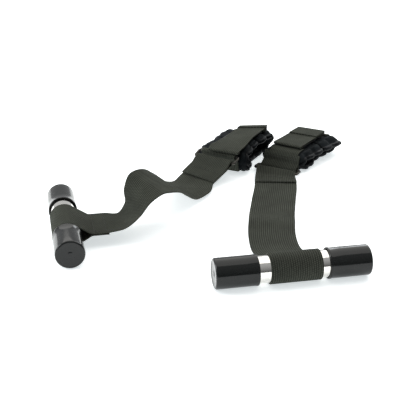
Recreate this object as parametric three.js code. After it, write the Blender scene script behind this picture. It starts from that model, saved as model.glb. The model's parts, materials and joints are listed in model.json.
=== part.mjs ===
// A pair of exercise straps. Each one is a steel T-bar handle with push-on end caps, a 48 mm webbing
// strap sewn round the bar, a joining ring, and a padded wrist cuff with a hook-and-loop flap.
// Millimetres, +Z up. The pair lies on its support surface, z = 0, with the bars towards -Y.

import * as THREE from "three";

// ---------------------------------------------------------------- driving dimensions

const TUBE_RADIUS = 12.7;            // one inch steel tube
const TUBE_WALL = 1.6;
const BAR_LENGTH = 145;              // over both end caps
const CAP_RADIUS = 14.3;
const CAP_LENGTH = 40;
const CAP_END_WALL = 2.4;
const CAP_EDGE_ROUND = 1.4;
const CAP_LIP_RADIUS = 14.6;         // rolled lip at the open mouth
const CAP_LIP_LENGTH = 2;

const WEBBING_WIDTH = 48;            // two inch webbing
const WEBBING_THICK = 1.4;
const GAP = 0.3;                     // left between pieces that touch
const RUNNING_GAP = 0.2;             // left round the tube, which turns in its webbing loop
const LAYER_STEP = WEBBING_THICK + GAP;

const LOOP_MERGE = 24;               // bar axis to where the two legs of the loop meet
const LOOP_SEAM = 17;                // sewn overlap beyond the merge
const FOLD_LENGTH = 32;              // strap end folded back round the ring

const RING_WIRE = 3;
const RING_PITCH = 11;               // between the middles of the ring's two long sides
const RING_INSIDE = 51;
const FOLD_RADIUS = RING_WIRE / 2 + 0.8 + WEBBING_THICK / 2;
const FOLD_NECK = 10;                // from the ring to where the folded layers lie together
const RING_LIFT = 9.5;               // from the cuff's cover to the middle of the ring's wire
const TAB_LIFT = LAYER_STEP + GAP + WEBBING_THICK / 2;
const TAB_SWEEP = [62, 52, 42, 32, 22];   // degrees round the near end, from the ring
const TAB_WIDTH = 46;

const CUFF_WIDTH = 56;
const CUFF_LENGTH = 90;
const LINING_THICK = 1;
const FOAM_THICK = 4;
const COVER_THICK = 1;
const BINDING_WIDTH = 1.6;
const CUFF_BASE = 0.2 + LAYER_STEP;  // underside of the cover; the band lies below it
const PANEL_END_GAP = 2;             // between the two ends of the padded panel, under the flap
const PANEL_END_AT = 46;
const BAND_START = 18;
const FLAP_HINGE_AT = 64;            // the sewn root line that the flap peels back from
const FLAP_ANCHOR_END = 76.5;
const PILE_THICK = 1.2;
const HOOK_THICK = 1;
const BAND_WIDTH = 38;
const FLAP_WIDTH = 38;
const PATCH_WIDTH = 32;

const ROUND_STEPS = 40;              // facets round a tube or a cap
const ARC_STEPS = 12;                // facets round half of a cuff's end
const THREAD = 0.8;
const STITCH_LENGTH = 12;
const FRAME_SHIFT = new THREE.Vector3(4.2, -891, 0);   // puts the origin under the middle of the pair

const BAR_HEIGHT = CAP_LIP_RADIUS;

// ---------------------------------------------------------------- layout of the two straps

// A heading turns from +Y towards +X. A station is [x, y, z, side yaw, side roll]: the middle of the
// webbing, and where its left-hand edge points.
const STRAPS = {
  left: {
    barMiddle: [-141, 804.5],
    barOffset: 7.5,                  // how far the bar has slid to the strap's left in its loop
    exitHeading: 77.9,
    exitPitch: 0,
    mergeHeight: 14,
    route: [
      [-86, 818, 15, 104, -5],
      [-76, 822, 25, 111, -3],
      [-71, 826, 38, 128, 0],
      [-63, 834, 47.5, 140, 12],
      [-54, 847, 46, 142, 17],
      [-46, 861, 40, 144, 17],
      [-41, 874, 31, 146, 17],
      [-36, 887, 22, 147, 17],
      [-31, 901, 14, 148, 15],
      [-25, 915, 9, 149, 10],
      [-18, 929, 6.5, 150, 4],
    ],
    ringHeading: 34,
    ringPitch: 22,
    strapTurn: -6,
    cuffNose: [16, 991],
    cuffHeading: 26,
    cuffHeight: 26,
    tabAngle: 27,
    tabWay: -1,
    flapReach: -14,
    flapShift: -8,
  },
  right: {
    barMiddle: [77.5, 718.8],
    barOffset: 1.8,
    exitHeading: -11.5,
    exitPitch: -9,
    mergeHeight: 8.5,
    route: [
      [66, 779, 1.8, 187, 0],
      [64.5, 800, 1.2, 184, 0],
      [64.5, 822, 2.2, 181, 1.5],
      [66, 842, 4.2, 178, 2.5],
      [67.5, 862, 2.2, 176, 1],
      [70, 885, 1.2, 175, 0],
      [73, 910, 1.2, 174, 0],
      [76, 933, 1.3, 174, 0],
    ],
    ringHeading: 29,
    ringPitch: 1,
    strapTurn: 26,
    cuffNose: [89, 1000],
    cuffHeading: 33,
    cuffHeight: 20,
    tabAngle: -22,
    tabWay: 1,
    flapReach: 12,
    flapShift: 1,
  },
};

// ---------------------------------------------------------------- materials

function finish(color, roughness, metalness) {
  return new THREE.MeshStandardMaterial({ color, roughness, metalness });
}

const chrome = finish(0xd8d4ce, 0.12, 1);
const ringSteel = finish(0x6a6762, 0.3, 1);
const capVinyl = finish(0x1d1f1f, 0.16, 0);
const webbing = finish(0x34372f, 0.85, 0);
const thread = finish(0x24261f, 0.7, 0);
const coverFabric = finish(0x15181c, 0.6, 0);
const foam = finish(0x2b2d30, 0.95, 0);
const liningFabric = finish(0x1b1d20, 0.9, 0);
const bindingTape = finish(0x101214, 0.5, 0);
const pileTape = finish(0x181a1a, 0.98, 0);
const hookTape = finish(0x121314, 0.6, 0);

// ---------------------------------------------------------------- shared shapes

const rad = THREE.MathUtils.degToRad;
const vec = (x, y, z) => new THREE.Vector3(x, y, z);

function named(name, geometry, material) {
  const mesh = new THREE.Mesh(geometry, material);
  mesh.name = name;
  return mesh;
}

// Joins a row of outlines, each with the same number of points, into one closed solid.
function loft(sections) {
  const sides = sections[0].length;
  const positions = sections.flat().flatMap((point) => point.toArray());
  const faces = [];
  for (let i = 0; i + 1 < sections.length; i += 1) {
    for (let k = 0; k < sides; k += 1) {
      const a = i * sides + k;
      const b = i * sides + ((k + 1) % sides);
      faces.push(a, b + sides, b, a, a + sides, b + sides);
    }
  }
  const last = (sections.length - 1) * sides;
  for (let k = 1; k + 1 < sides; k += 1) {
    faces.push(0, k, k + 1, last, last + k + 1, last + k);
  }
  const geometry = new THREE.BufferGeometry();
  geometry.setAttribute("position", new THREE.Float32BufferAttribute(positions, 3));
  geometry.setIndex(faces);
  geometry.computeVertexNormals();
  return geometry;
}

// A strip of webbing along stations {at, side}: at is its middle, side points to its left-hand edge.
function ribbon(stations, width, thickness) {
  const sections = stations.map(({ at, side }, i) => {
    const before = stations[Math.max(i - 1, 0)].at;
    const after = stations[Math.min(i + 1, stations.length - 1)].at;
    const along = after.clone().sub(before).normalize();
    const up = along.clone().cross(side).normalize().multiplyScalar(thickness / 2);
    const across = side.clone().multiplyScalar(width / 2);
    return [
      at.clone().add(across).sub(up),
      at.clone().sub(across).sub(up),
      at.clone().sub(across).add(up),
      at.clone().add(across).add(up),
    ];
  });
  return loft(sections);
}

function directionOf(yaw, roll) {
  const level = Math.cos(rad(roll));
  return vec(Math.cos(rad(yaw)) * level, Math.sin(rad(yaw)) * level, Math.sin(rad(roll)));
}

function rectangle(width, length) {
  const shape = new THREE.Shape();
  shape.moveTo(-width / 2, -length / 2);
  shape.lineTo(width / 2, -length / 2);
  shape.lineTo(width / 2, length / 2);
  shape.lineTo(-width / 2, length / 2);
  shape.closePath();
  return shape;
}

// Turns a mesh so that its X, Y and Z run to the right of, along and up from a strap.
function face(mesh, along, side) {
  const up = along.clone().cross(side).normalize();
  const basis = new THREE.Matrix4().makeBasis(side.clone().negate(), along, up);
  mesh.quaternion.setFromRotationMatrix(basis);
  return up;
}

// A box stitch: a frame of thread just clear of the webbing's upper face, from start along the strap.
function boxStitch(name, start, along, side) {
  const shape = rectangle(WEBBING_WIDTH - 6, STITCH_LENGTH);
  shape.holes.push(rectangle(WEBBING_WIDTH - 6 - 2 * THREAD, STITCH_LENGTH - 2 * THREAD));
  const geometry = new THREE.ExtrudeGeometry(shape, { depth: THREAD, bevelEnabled: false });
  const mesh = named(name, geometry, thread);
  const up = face(mesh, along, side);
  mesh.position.copy(start)
    .addScaledVector(along, 2 + STITCH_LENGTH / 2)
    .addScaledVector(up, WEBBING_THICK / 2 + 0.15);
  return mesh;
}

// ---------------------------------------------------------------- T-bar handle

function lathe(points) {
  const profile = points.map(([radius, height]) => new THREE.Vector2(radius, height));
  const geometry = new THREE.LatheGeometry(profile, ROUND_STEPS);
  geometry.rotateX(Math.PI / 2);
  return geometry;
}

function barTube() {
  const half = BAR_LENGTH / 2 - CAP_END_WALL - GAP;
  const inner = TUBE_RADIUS - TUBE_WALL;
  return lathe([
    [inner, -half], [TUBE_RADIUS, -half], [TUBE_RADIUS, half], [inner, half], [inner, -half],
  ]);
}

function endCap() {
  const end = BAR_LENGTH / 2;
  const mouth = end - CAP_LENGTH;
  const bore = TUBE_RADIUS + 0.15;
  const round = CAP_EDGE_ROUND;
  return lathe([
    [0, end - CAP_END_WALL],
    [bore, end - CAP_END_WALL],
    [bore, mouth],
    [CAP_LIP_RADIUS - 0.4, mouth],
    [CAP_LIP_RADIUS, mouth + 0.4],
    [CAP_LIP_RADIUS, mouth + CAP_LIP_LENGTH],
    [CAP_RADIUS, mouth + CAP_LIP_LENGTH + 0.8],
    [CAP_RADIUS, end - round],
    [CAP_RADIUS - round * 0.3, end - round * 0.3],
    [CAP_RADIUS - round, end],
    [0, end],
  ]);
}

// The bar's own +Z runs along the tube, towards the left-hand side of the strap that leaves it.
function handle(side, layout) {
  const group = new THREE.Group();
  const axis = directionOf(180 - layout.exitHeading, 0);
  group.quaternion.setFromUnitVectors(vec(0, 0, 1), axis);
  group.position.set(layout.barMiddle[0], layout.barMiddle[1], BAR_HEIGHT);
  group.position.addScaledVector(axis, layout.barOffset);
  group.add(named(`${side}_bar_tube`, barTube(), chrome));
  group.add(named(`${side}_bar_cap_a`, endCap(), capVinyl));
  const second = named(`${side}_bar_cap_b`, endCap(), capVinyl);
  second.rotation.x = Math.PI;
  group.add(second);
  return group;
}

// ---------------------------------------------------------------- strap

// Stations in the upright plane square to the bar: along is measured from the bar axis.
function barPlane(layout) {
  const heading = rad(layout.exitHeading);
  const out = vec(Math.sin(heading), Math.cos(heading), 0);
  const side = vec(-out.y, out.x, 0);
  const centre = vec(layout.barMiddle[0], layout.barMiddle[1], 0);
  const station = (along, height) => ({
    at: centre.clone().addScaledVector(out, along).setZ(height),
    side,
  });
  return { station, out, side };
}

function loopStations(layout) {
  const { station } = barPlane(layout);
  const radius = TUBE_RADIUS + RUNNING_GAP + WEBBING_THICK / 2;
  const upper = layout.mergeHeight + LAYER_STEP / 2;
  const lower = layout.mergeHeight - LAYER_STEP / 2;
  const tangent = (height, turn) => {
    const drop = height - BAR_HEIGHT;
    const reach = Math.hypot(LOOP_MERGE, drop);
    return Math.atan2(drop, LOOP_MERGE) + turn * Math.acos(radius / reach);
  };
  const slope = Math.tan(rad(layout.exitPitch));
  const from = tangent(lower, -1);
  const to = tangent(upper, 1) - 2 * Math.PI;
  const steps = 26;
  const stations = [
    station(LOOP_MERGE + LOOP_SEAM, lower + slope * LOOP_SEAM),
    station(LOOP_MERGE, lower),
  ];
  for (let i = 0; i <= steps; i += 1) {
    const angle = from + ((to - from) * i) / steps;
    stations.push(station(radius * Math.cos(angle), BAR_HEIGHT + radius * Math.sin(angle)));
  }
  stations.push(station(LOOP_MERGE, upper));
  return stations;
}

// A point on the cuff's rounded near end, in the cuff's own frame: angle is measured up from level.
function onNose(layout, angle, lift) {
  const radius = layout.cuffHeight / 2;
  return vec(
    radius - (radius + lift) * Math.cos(rad(angle)),
    0,
    CUFF_BASE + radius + (radius + lift) * Math.sin(rad(angle)));
}

function cuffPlacement(layout) {
  const placed = new THREE.Matrix4().makeRotationZ(rad(90 - layout.cuffHeading));
  return placed.setPosition(layout.cuffNose[0], layout.cuffNose[1], 0);
}

// The ring lies along its own heading, and the strap meets it turned by strapTurn. onStrap gives a
// point ahead of the ring's strap-side wire, or behind it, on a level above or below that wire.
function ringFrame(layout) {
  const heading = rad(layout.ringHeading);
  const level = Math.cos(rad(layout.ringPitch));
  const along = vec(
    Math.sin(heading) * level, Math.cos(heading) * level, Math.sin(rad(layout.ringPitch)));
  const side = vec(-Math.cos(heading), Math.sin(heading), 0);
  const up = along.clone().cross(side).normalize();
  const turned = (direction, degrees) => direction.clone().applyAxisAngle(up, rad(degrees));
  const strapAlong = turned(along, layout.strapTurn);
  const cuffWire = onNose(layout, layout.tabAngle, RING_LIFT).applyMatrix4(cuffPlacement(layout));
  const wire = cuffWire.clone().addScaledVector(along, -RING_PITCH);
  const onStrap = (ahead, above) => wire.clone()
    .addScaledVector(strapAlong, ahead)
    .addScaledVector(up, above);
  const sideAt = (back) => turned(side, (layout.strapTurn * back) / FOLD_LENGTH);
  return { along, strapAlong, side, wire, onStrap, sideAt };
}

function foldStations(layout) {
  const { side, onStrap, sideAt } = ringFrame(layout);
  const stations = [{ at: onStrap(-FOLD_NECK, -FOLD_RADIUS), side: sideAt(FOLD_NECK) }];
  const steps = 8;
  for (let i = 0; i <= steps; i += 1) {
    const angle = -Math.PI / 2 + (Math.PI * i) / steps;
    const round = onStrap(FOLD_RADIUS * Math.cos(angle), FOLD_RADIUS * Math.sin(angle));
    stations.push({ at: round, side });
  }
  const level = LAYER_STEP - FOLD_RADIUS;
  stations.push({ at: onStrap(-FOLD_NECK, level), side: sideAt(FOLD_NECK) });
  stations.push({ at: onStrap(-FOLD_LENGTH, level), side: sideAt(FOLD_LENGTH) });
  return stations;
}

function routeStations(layout) {
  const { station, side } = barPlane(layout);
  const ring = ringFrame(layout);
  const slope = Math.tan(rad(layout.exitPitch));
  const exit = station(
    LOOP_MERGE + LOOP_SEAM, layout.mergeHeight + LAYER_STEP / 2 + slope * LOOP_SEAM).at;
  const exitYaw = THREE.MathUtils.radToDeg(Math.atan2(side.y, side.x));
  const seamSide = ring.sideAt(FOLD_LENGTH);
  const seamYaw = THREE.MathUtils.radToDeg(Math.atan2(seamSide.y, seamSide.x));
  const wrap = (yaw) => (yaw < 0 ? yaw + 360 : yaw);
  const controls = [
    [...exit.toArray(), wrap(exitYaw), 0],
    ...layout.route,
    [...ring.onStrap(-FOLD_LENGTH - 2, -FOLD_RADIUS).toArray(), wrap(seamYaw), 0],
  ];
  const middle = new THREE.CatmullRomCurve3(controls.map(([x, y, z]) => vec(x, y, z)));
  const turns = new THREE.CatmullRomCurve3(controls.map(([, , , yaw, roll]) => vec(yaw, roll, 0)));
  const steps = 3 * (controls.length - 1);
  const stations = [];
  for (let i = 0; i <= steps; i += 1) {
    const turn = turns.getPoint(i / steps);
    stations.push({ at: middle.getPoint(i / steps), side: directionOf(turn.x, turn.y) });
  }
  return stations;
}

function strap(side, layout) {
  const group = new THREE.Group();
  const stations = [...loopStations(layout), ...routeStations(layout), ...foldStations(layout)];
  group.add(named(`${side}_strap_webbing`, ribbon(stations, WEBBING_WIDTH, WEBBING_THICK), webbing));

  const bar = barPlane(layout);
  const upper = layout.mergeHeight + LAYER_STEP / 2;
  const drop = Math.tan(rad(layout.exitPitch));
  const seamAlong = bar.out.clone().setZ(drop).normalize();
  group.add(boxStitch(
    `${side}_loop_stitching`, bar.station(LOOP_MERGE, upper).at, seamAlong, bar.side));

  const { strapAlong, onStrap, sideAt } = ringFrame(layout);
  const seamStart = onStrap(-FOLD_LENGTH, LAYER_STEP - FOLD_RADIUS);
  group.add(boxStitch(`${side}_fold_stitching`, seamStart, strapAlong, sideAt(FOLD_LENGTH)));
  return group;
}

// ---------------------------------------------------------------- joining ring

function ring(side, layout) {
  const outline = (halfLong, halfShort, corner) => {
    const shape = new THREE.Shape();
    shape.moveTo(-halfLong + corner, -halfShort);
    shape.absarc(halfLong - corner, -halfShort + corner, corner, -Math.PI / 2, 0);
    shape.absarc(halfLong - corner, halfShort - corner, corner, 0, Math.PI / 2);
    shape.absarc(-halfLong + corner, halfShort - corner, corner, Math.PI / 2, Math.PI);
    shape.absarc(-halfLong + corner, -halfShort + corner, corner, Math.PI, 1.5 * Math.PI);
    return shape;
  };
  const bevel = 0.7;
  const halfWire = RING_WIRE / 2 - bevel;
  const shape = outline(RING_INSIDE / 2 + halfWire * 2 + bevel, RING_PITCH / 2 + halfWire, 3.2);
  shape.holes.push(outline(RING_INSIDE / 2 + bevel, RING_PITCH / 2 - halfWire, 1.6));
  const geometry = new THREE.ExtrudeGeometry(shape, {
    depth: RING_WIRE - 2 * bevel,
    bevelThickness: bevel,
    bevelSize: bevel,
    bevelSegments: 1,
    curveSegments: 4,
  });
  geometry.translate(0, RING_PITCH / 2, -(RING_WIRE / 2 - bevel));
  const { along, side: across, wire } = ringFrame(layout);
  const mesh = named(`${side}_ring`, geometry, ringSteel);
  face(mesh, along, across);
  mesh.position.copy(wire);
  return mesh;
}

// ---------------------------------------------------------------- padded cuff

// Inside a cuff, +X runs from its near end to its far end, +Y to its left and +Z up.
// The outline of the flattened loop, inset from the cover's face, as points from one end to the other.
function loopOutline(height, inset, startAt, endAt) {
  const radius = height / 2 - inset;
  const middle = CUFF_BASE + height / 2;
  const nearCentre = height / 2;
  const farCentre = CUFF_LENGTH - height / 2;
  const points = [new THREE.Vector2(startAt, middle + radius)];
  for (let i = 0; i <= ARC_STEPS; i += 1) {
    const angle = Math.PI / 2 + (Math.PI * i) / ARC_STEPS;
    points.push(new THREE.Vector2(
      nearCentre + radius * Math.cos(angle), middle + radius * Math.sin(angle)));
  }
  for (let i = 0; i <= ARC_STEPS; i += 1) {
    const angle = -Math.PI / 2 + (Math.PI * i) / ARC_STEPS;
    points.push(new THREE.Vector2(
      farCentre + radius * Math.cos(angle), middle + radius * Math.sin(angle)));
  }
  points.push(new THREE.Vector2(endAt, middle + radius));
  return points;
}

// A layer of the cuff: the space between two insets of the loop, cut to a width.
function cuffLayer(height, outerInset, thickness, width, startAt, endAt) {
  const outside = loopOutline(height, outerInset, startAt, endAt);
  const inside = loopOutline(height, outerInset + thickness, startAt, endAt);
  const shape = new THREE.Shape([...outside, ...inside.reverse()]);
  return upright(shape, width);
}

// Stands a side outline up in the cuff's frame, spread to both sides of its middle.
function upright(shape, width) {
  const geometry = new THREE.ExtrudeGeometry(shape, { depth: width, bevelEnabled: false });
  geometry.rotateX(Math.PI / 2);
  geometry.translate(0, width / 2, 0);
  return geometry;
}

function slab(from, to, bottom, thickness, width) {
  const shape = new THREE.Shape();
  shape.moveTo(from, bottom);
  shape.lineTo(to, bottom);
  shape.lineTo(to, bottom + thickness);
  shape.lineTo(from, bottom + thickness);
  return upright(shape, width);
}

// The sewn tab: it runs along the cuff's near end, round the ring's cuff-side wire and back, doubled.
function ringTab(layout) {
  const toCuff = cuffPlacement(layout).invert();
  const wireSide = ringFrame(layout).side.transformDirection(toCuff);
  const across = vec(0, 1, 0);
  const at = (angle, lift) => onNose(layout, layout.tabAngle + layout.tabWay * angle, lift);
  const inner = TAB_SWEEP.map((angle) => ({ at: at(angle, TAB_LIFT), side: across }));
  const outer = TAB_SWEEP.map((angle) => ({ at: at(angle, TAB_LIFT + LAYER_STEP), side: across }));
  const wire = at(0, RING_LIFT);
  const outward = at(0, RING_LIFT + 1).sub(wire).normalize();
  const away = at(-1, RING_LIFT).sub(wire).normalize();
  const steps = 12;
  const arc = [];
  for (let i = 0; i <= steps; i += 1) {
    const angle = rad(-70 + (215 * i) / steps);
    arc.push({
      at: wire.clone()
        .addScaledVector(away, FOLD_RADIUS * Math.cos(angle))
        .addScaledVector(outward, FOLD_RADIUS * Math.sin(angle)),
      side: wireSide,
    });
  }
  return ribbon([...inner, ...arc, ...outer.reverse()], TAB_WIDTH, WEBBING_THICK);
}

function cuff(side, layout) {
  const group = new THREE.Group();
  group.applyMatrix4(cuffPlacement(layout));

  const height = layout.cuffHeight;
  const ends = [PANEL_END_AT, PANEL_END_AT + PANEL_END_GAP];
  const foamInset = COVER_THICK + GAP;
  const liningInset = foamInset + FOAM_THICK + GAP;
  const total = liningInset + LINING_THICK;
  const add = (name, geometry, material) => group.add(named(`${side}_${name}`, geometry, material));

  add("cuff_cover", cuffLayer(height, 0, COVER_THICK, CUFF_WIDTH, ...ends), coverFabric);
  add("cuff_foam", cuffLayer(height, foamInset, FOAM_THICK, CUFF_WIDTH, ...ends), foam);
  add("cuff_lining", cuffLayer(height, liningInset, LINING_THICK, CUFF_WIDTH, ...ends), liningFabric);

  const edgeAt = CUFF_WIDTH / 2 + GAP + BINDING_WIDTH / 2;
  const bindingLeft = cuffLayer(height, 0, total, BINDING_WIDTH, ...ends);
  bindingLeft.translate(0, edgeAt, 0);
  add("cuff_binding_l", bindingLeft, bindingTape);
  const bindingRight = cuffLayer(height, 0, total, BINDING_WIDTH, ...ends);
  bindingRight.translate(0, -edgeAt, 0);
  add("cuff_binding_r", bindingRight, bindingTape);

  const band = cuffLayer(
    height, -LAYER_STEP, WEBBING_THICK, BAND_WIDTH, BAND_START, FLAP_ANCHOR_END);
  add("cuff_band", band, webbing);

  const bandTop = CUFF_BASE + height + LAYER_STEP;
  const pileBottom = bandTop + GAP;
  const hookBottom = pileBottom + PILE_THICK + GAP;
  const flapBottom = hookBottom + HOOK_THICK + GAP;
  const flapStart = layout.flapReach;
  add("cuff_pile",
    slab(BAND_START + 2, FLAP_HINGE_AT - 4, pileBottom, PILE_THICK, PATCH_WIDTH), pileTape);
  const anchorThick = flapBottom + WEBBING_THICK - bandTop - GAP;
  const anchor = slab(
    FLAP_HINGE_AT + GAP, FLAP_ANCHOR_END - 2, bandTop + GAP, anchorThick, BAND_WIDTH);
  anchor.translate(0, layout.flapShift, 0);
  add("flap_anchor", anchor, webbing);

  const flap = new THREE.Group();
  flap.position.set(FLAP_HINGE_AT, layout.flapShift, flapBottom + WEBBING_THICK);
  const flapEnd = -GAP;
  const reach = flapStart - FLAP_HINGE_AT;
  flap.add(named(`${side}_flap`,
    slab(reach, flapEnd, -WEBBING_THICK, WEBBING_THICK, FLAP_WIDTH), webbing));
  const hookLevel = -WEBBING_THICK - GAP - HOOK_THICK;
  flap.add(named(`${side}_flap_hook`,
    slab(reach + 8, flapEnd - 6, hookLevel, HOOK_THICK, PATCH_WIDTH), hookTape));
  group.add(flap);

  add("ring_tab", ringTab(layout), webbing);
  return group;
}

// ---------------------------------------------------------------- the pair

const pair = new THREE.Group();
pair.position.copy(FRAME_SHIFT);
Object.entries(STRAPS).forEach(([side, layout]) => {
  pair.add(handle(side, layout));
  pair.add(strap(side, layout));
  pair.add(ring(side, layout));
  pair.add(cuff(side, layout));
});

export default pair;
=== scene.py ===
# Fine surfaces and finishes for a pair of exercise straps: T-bar handles, webbing, rings and padded cuffs.
# Lengths are in millimetres in the part's own frame, and become metres when a mesh is made.

import json
from math import acos, atan2, cos, degrees, exp, hypot, pi, radians, sin, sqrt, tan

import bmesh
import bpy
import numpy as np
from bpy.props import FloatProperty, FloatVectorProperty, IntProperty, PointerProperty
from mathutils import Matrix, Vector, noise


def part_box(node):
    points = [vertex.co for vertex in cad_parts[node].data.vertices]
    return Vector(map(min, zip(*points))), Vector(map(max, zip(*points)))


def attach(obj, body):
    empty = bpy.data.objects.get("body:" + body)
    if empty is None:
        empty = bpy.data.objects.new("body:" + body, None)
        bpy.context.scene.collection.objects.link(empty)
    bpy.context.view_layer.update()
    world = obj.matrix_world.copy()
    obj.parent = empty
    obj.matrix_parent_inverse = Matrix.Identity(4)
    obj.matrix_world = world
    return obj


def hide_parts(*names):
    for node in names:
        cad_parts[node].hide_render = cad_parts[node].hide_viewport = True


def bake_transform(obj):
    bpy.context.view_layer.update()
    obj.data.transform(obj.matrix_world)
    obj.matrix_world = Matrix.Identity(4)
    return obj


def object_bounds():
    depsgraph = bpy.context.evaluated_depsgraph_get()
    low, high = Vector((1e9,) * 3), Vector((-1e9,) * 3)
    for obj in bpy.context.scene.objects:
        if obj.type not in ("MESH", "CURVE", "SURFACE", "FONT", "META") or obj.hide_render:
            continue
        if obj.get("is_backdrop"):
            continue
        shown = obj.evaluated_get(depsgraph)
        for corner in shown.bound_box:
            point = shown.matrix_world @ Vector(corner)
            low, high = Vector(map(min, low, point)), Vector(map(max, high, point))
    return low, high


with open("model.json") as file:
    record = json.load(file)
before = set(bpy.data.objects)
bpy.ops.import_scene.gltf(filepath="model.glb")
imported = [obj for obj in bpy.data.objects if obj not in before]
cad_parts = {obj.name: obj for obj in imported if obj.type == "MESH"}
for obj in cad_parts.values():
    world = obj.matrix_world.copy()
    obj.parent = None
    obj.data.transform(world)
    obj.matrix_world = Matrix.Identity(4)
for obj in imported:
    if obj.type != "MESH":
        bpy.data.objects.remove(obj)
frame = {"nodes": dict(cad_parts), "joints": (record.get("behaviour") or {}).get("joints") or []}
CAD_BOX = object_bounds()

bl_info = {
    "name": "Exercise strap pair",
    "version": (1, 0, 0),
    "blender": (4, 5, 0),
    "location": "3D View > Sidebar > Straps",
    "description": "Makes the fine pieces of a pair of exercise straps around their packed frame",
    "category": "Object",
}

MM = 0.001
UP = Vector((0, 0, 1))
LEFTWARD = Vector((0, 1, 0))      # in a cuff's own frame
NODES = frame["nodes"]
JOINTS = {joint["name"]: joint for joint in frame["joints"]}

# ---------------------------------------------------------------- sizes of the frame's pieces

WEBBING_THICK = 1.4
GAP = 0.3
LAYER_STEP = WEBBING_THICK + GAP
RUNNING_GAP = 0.2
LOOP_MERGE = 24
LOOP_SEAM = 17
FOLD_LENGTH = 32
FOLD_NECK = 10
FOLD_RADIUS = 3.0
RING_WIRE = 3
RING_PITCH = 11
RING_LONG = 54
RING_LIFT = 9.5
TAB_LIFT = LAYER_STEP + GAP + WEBBING_THICK / 2
TAB_SWEEP = (62, 52, 42, 32, 22)
TAB_WIDTH = 46
PAD_THICK = 6.6
PANEL_ENDS = (46, 48)
BAND_ENDS = (18, 76.5)
WEBBING_WIDTH = 48
HEM_RADIUS = 0.95
HEM_NEAR = 1.2
HEM_FAR = 7
SEAM_NEAR = 2         # a strap's box of stitches, from the layers' meeting or from the cut end
SEAM_FAR = 14
SEAM_HALF_WIDTH = 21
TUBE_WALL = 1.6
TUBE_EDGE = 0.4
LEAN_START = 4        # along the cuff, and how far the lean takes to grow
LEAN_RUN = 30
LEAN_HALF_WIDTH = 28
STRAP_CLEAR = 0.05    # least heights above the floor
BINDING_CLEAR = 0.25
PAD_CLEAR = 0.4
FLOOR_HALF = 4000
HOOK_SHORTER = 4      # kept off the anchor's edge when a leaning flap is peeled right back

# A route station is x, y, z, side yaw and side roll: the middle of the webbing, and where its
# left-hand edge points. Reaches are how far a pad stands out to each side, at its near end, just
# short of its middle and at its far end. Lean is how much lower a cuff's left side lies, and droop
# how far the open edges of its upper layer hang down.
STRAPS = {
    "left": {
        "bar_middle": (-141, 804.5),
        "exit_pitch": 0,
        "merge_height": 14,
        "route": (
            (-86, 818, 15, 104, -5),
            (-76, 822, 25, 111, -3),
            (-71, 826, 38, 128, 0),
            (-63, 834, 47.5, 140, 12),
            (-54, 847, 46, 142, 17),
            (-46, 861, 40, 144, 17),
            (-41, 874, 31, 146, 17),
            (-36, 887, 22, 147, 17),
            (-31, 901, 14, 148, 15),
            (-25, 915, 9, 149, 10),
            (-18, 929, 6.5, 150, 4),
        ),
        "ring_heading": 34,
        "ring_pitch": 22,
        "strap_turn": -6,
        "tab_angle": 27,
        "tab_way": -1,
        "reach_left": (31, 33, 36),
        "reach_right": (32, 27.5, 32.5),
        "lean": 0.13,
        "droop": 2.5,
        "flap_dip": 1.5,
        "root_ahead": -4,
        "seed": 3,
    },
    "right": {
        "bar_middle": (77.5, 718.8),
        "exit_pitch": -9,
        "merge_height": 8.5,
        "route": (
            (66, 779, 1.8, 187, 0),
            (64.5, 800, 1.2, 184, 0),
            (64.5, 822, 2.2, 181, 1.5),
            (66, 842, 4.2, 178, 2.5),
            (67.5, 862, 2.2, 176, 1),
            (70, 885, 1.2, 175, 0),
            (73, 910, 1.2, 174, 0),
            (76, 933, 1.3, 174, 0),
        ),
        "ring_heading": 29,
        "ring_pitch": 1,
        "strap_turn": 26,
        "tab_angle": -22,
        "tab_way": 1,
        "reach_left": (28, 28.5, 30),
        "reach_right": (27, 31, 37),
        "lean": 0.03,
        "droop": 5,
        "flap_dip": 2,
        "root_ahead": 13,
        "seed": 8,
    },
}


# ---------------------------------------------------------------- properties


def length(name, description, default):
    return FloatProperty(name=name, description=description, default=default, unit="LENGTH", precision=5)


def colour(name, description, default):
    return FloatVectorProperty(
        name=name, description=description, default=default, size=3, subtype="COLOR", min=0, max=1)


class StrapSizes(bpy.types.PropertyGroup):
    rib_pitch: length("Rib pitch", "Width of one lengthwise rib of the webbing", 0.0021)
    pick_pitch: length("Pick pitch", "Length of one crosswise pick of the webbing", 0.0017)
    stitch_pitch: length("Stitch pitch", "From one stitch to the next", 0.0029)
    thread_radius: length("Thread radius", "Half the sewing thread's thickness", 0.00038)
    scallop_pitch: length("Scallop pitch", "From one quilted channel to the next along a cuff", 0.019)
    scallop_depth: length("Scallop depth", "How far the edge bulges between two channels", 0.003)
    swell: FloatProperty(
        name="Swell", description="Pressure that puffs the cuff pads up between their seams", default=5.0)
    swell_frames: IntProperty(
        name="Swell frames", description="How long the cuff pads are left to swell", default=18)


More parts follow.
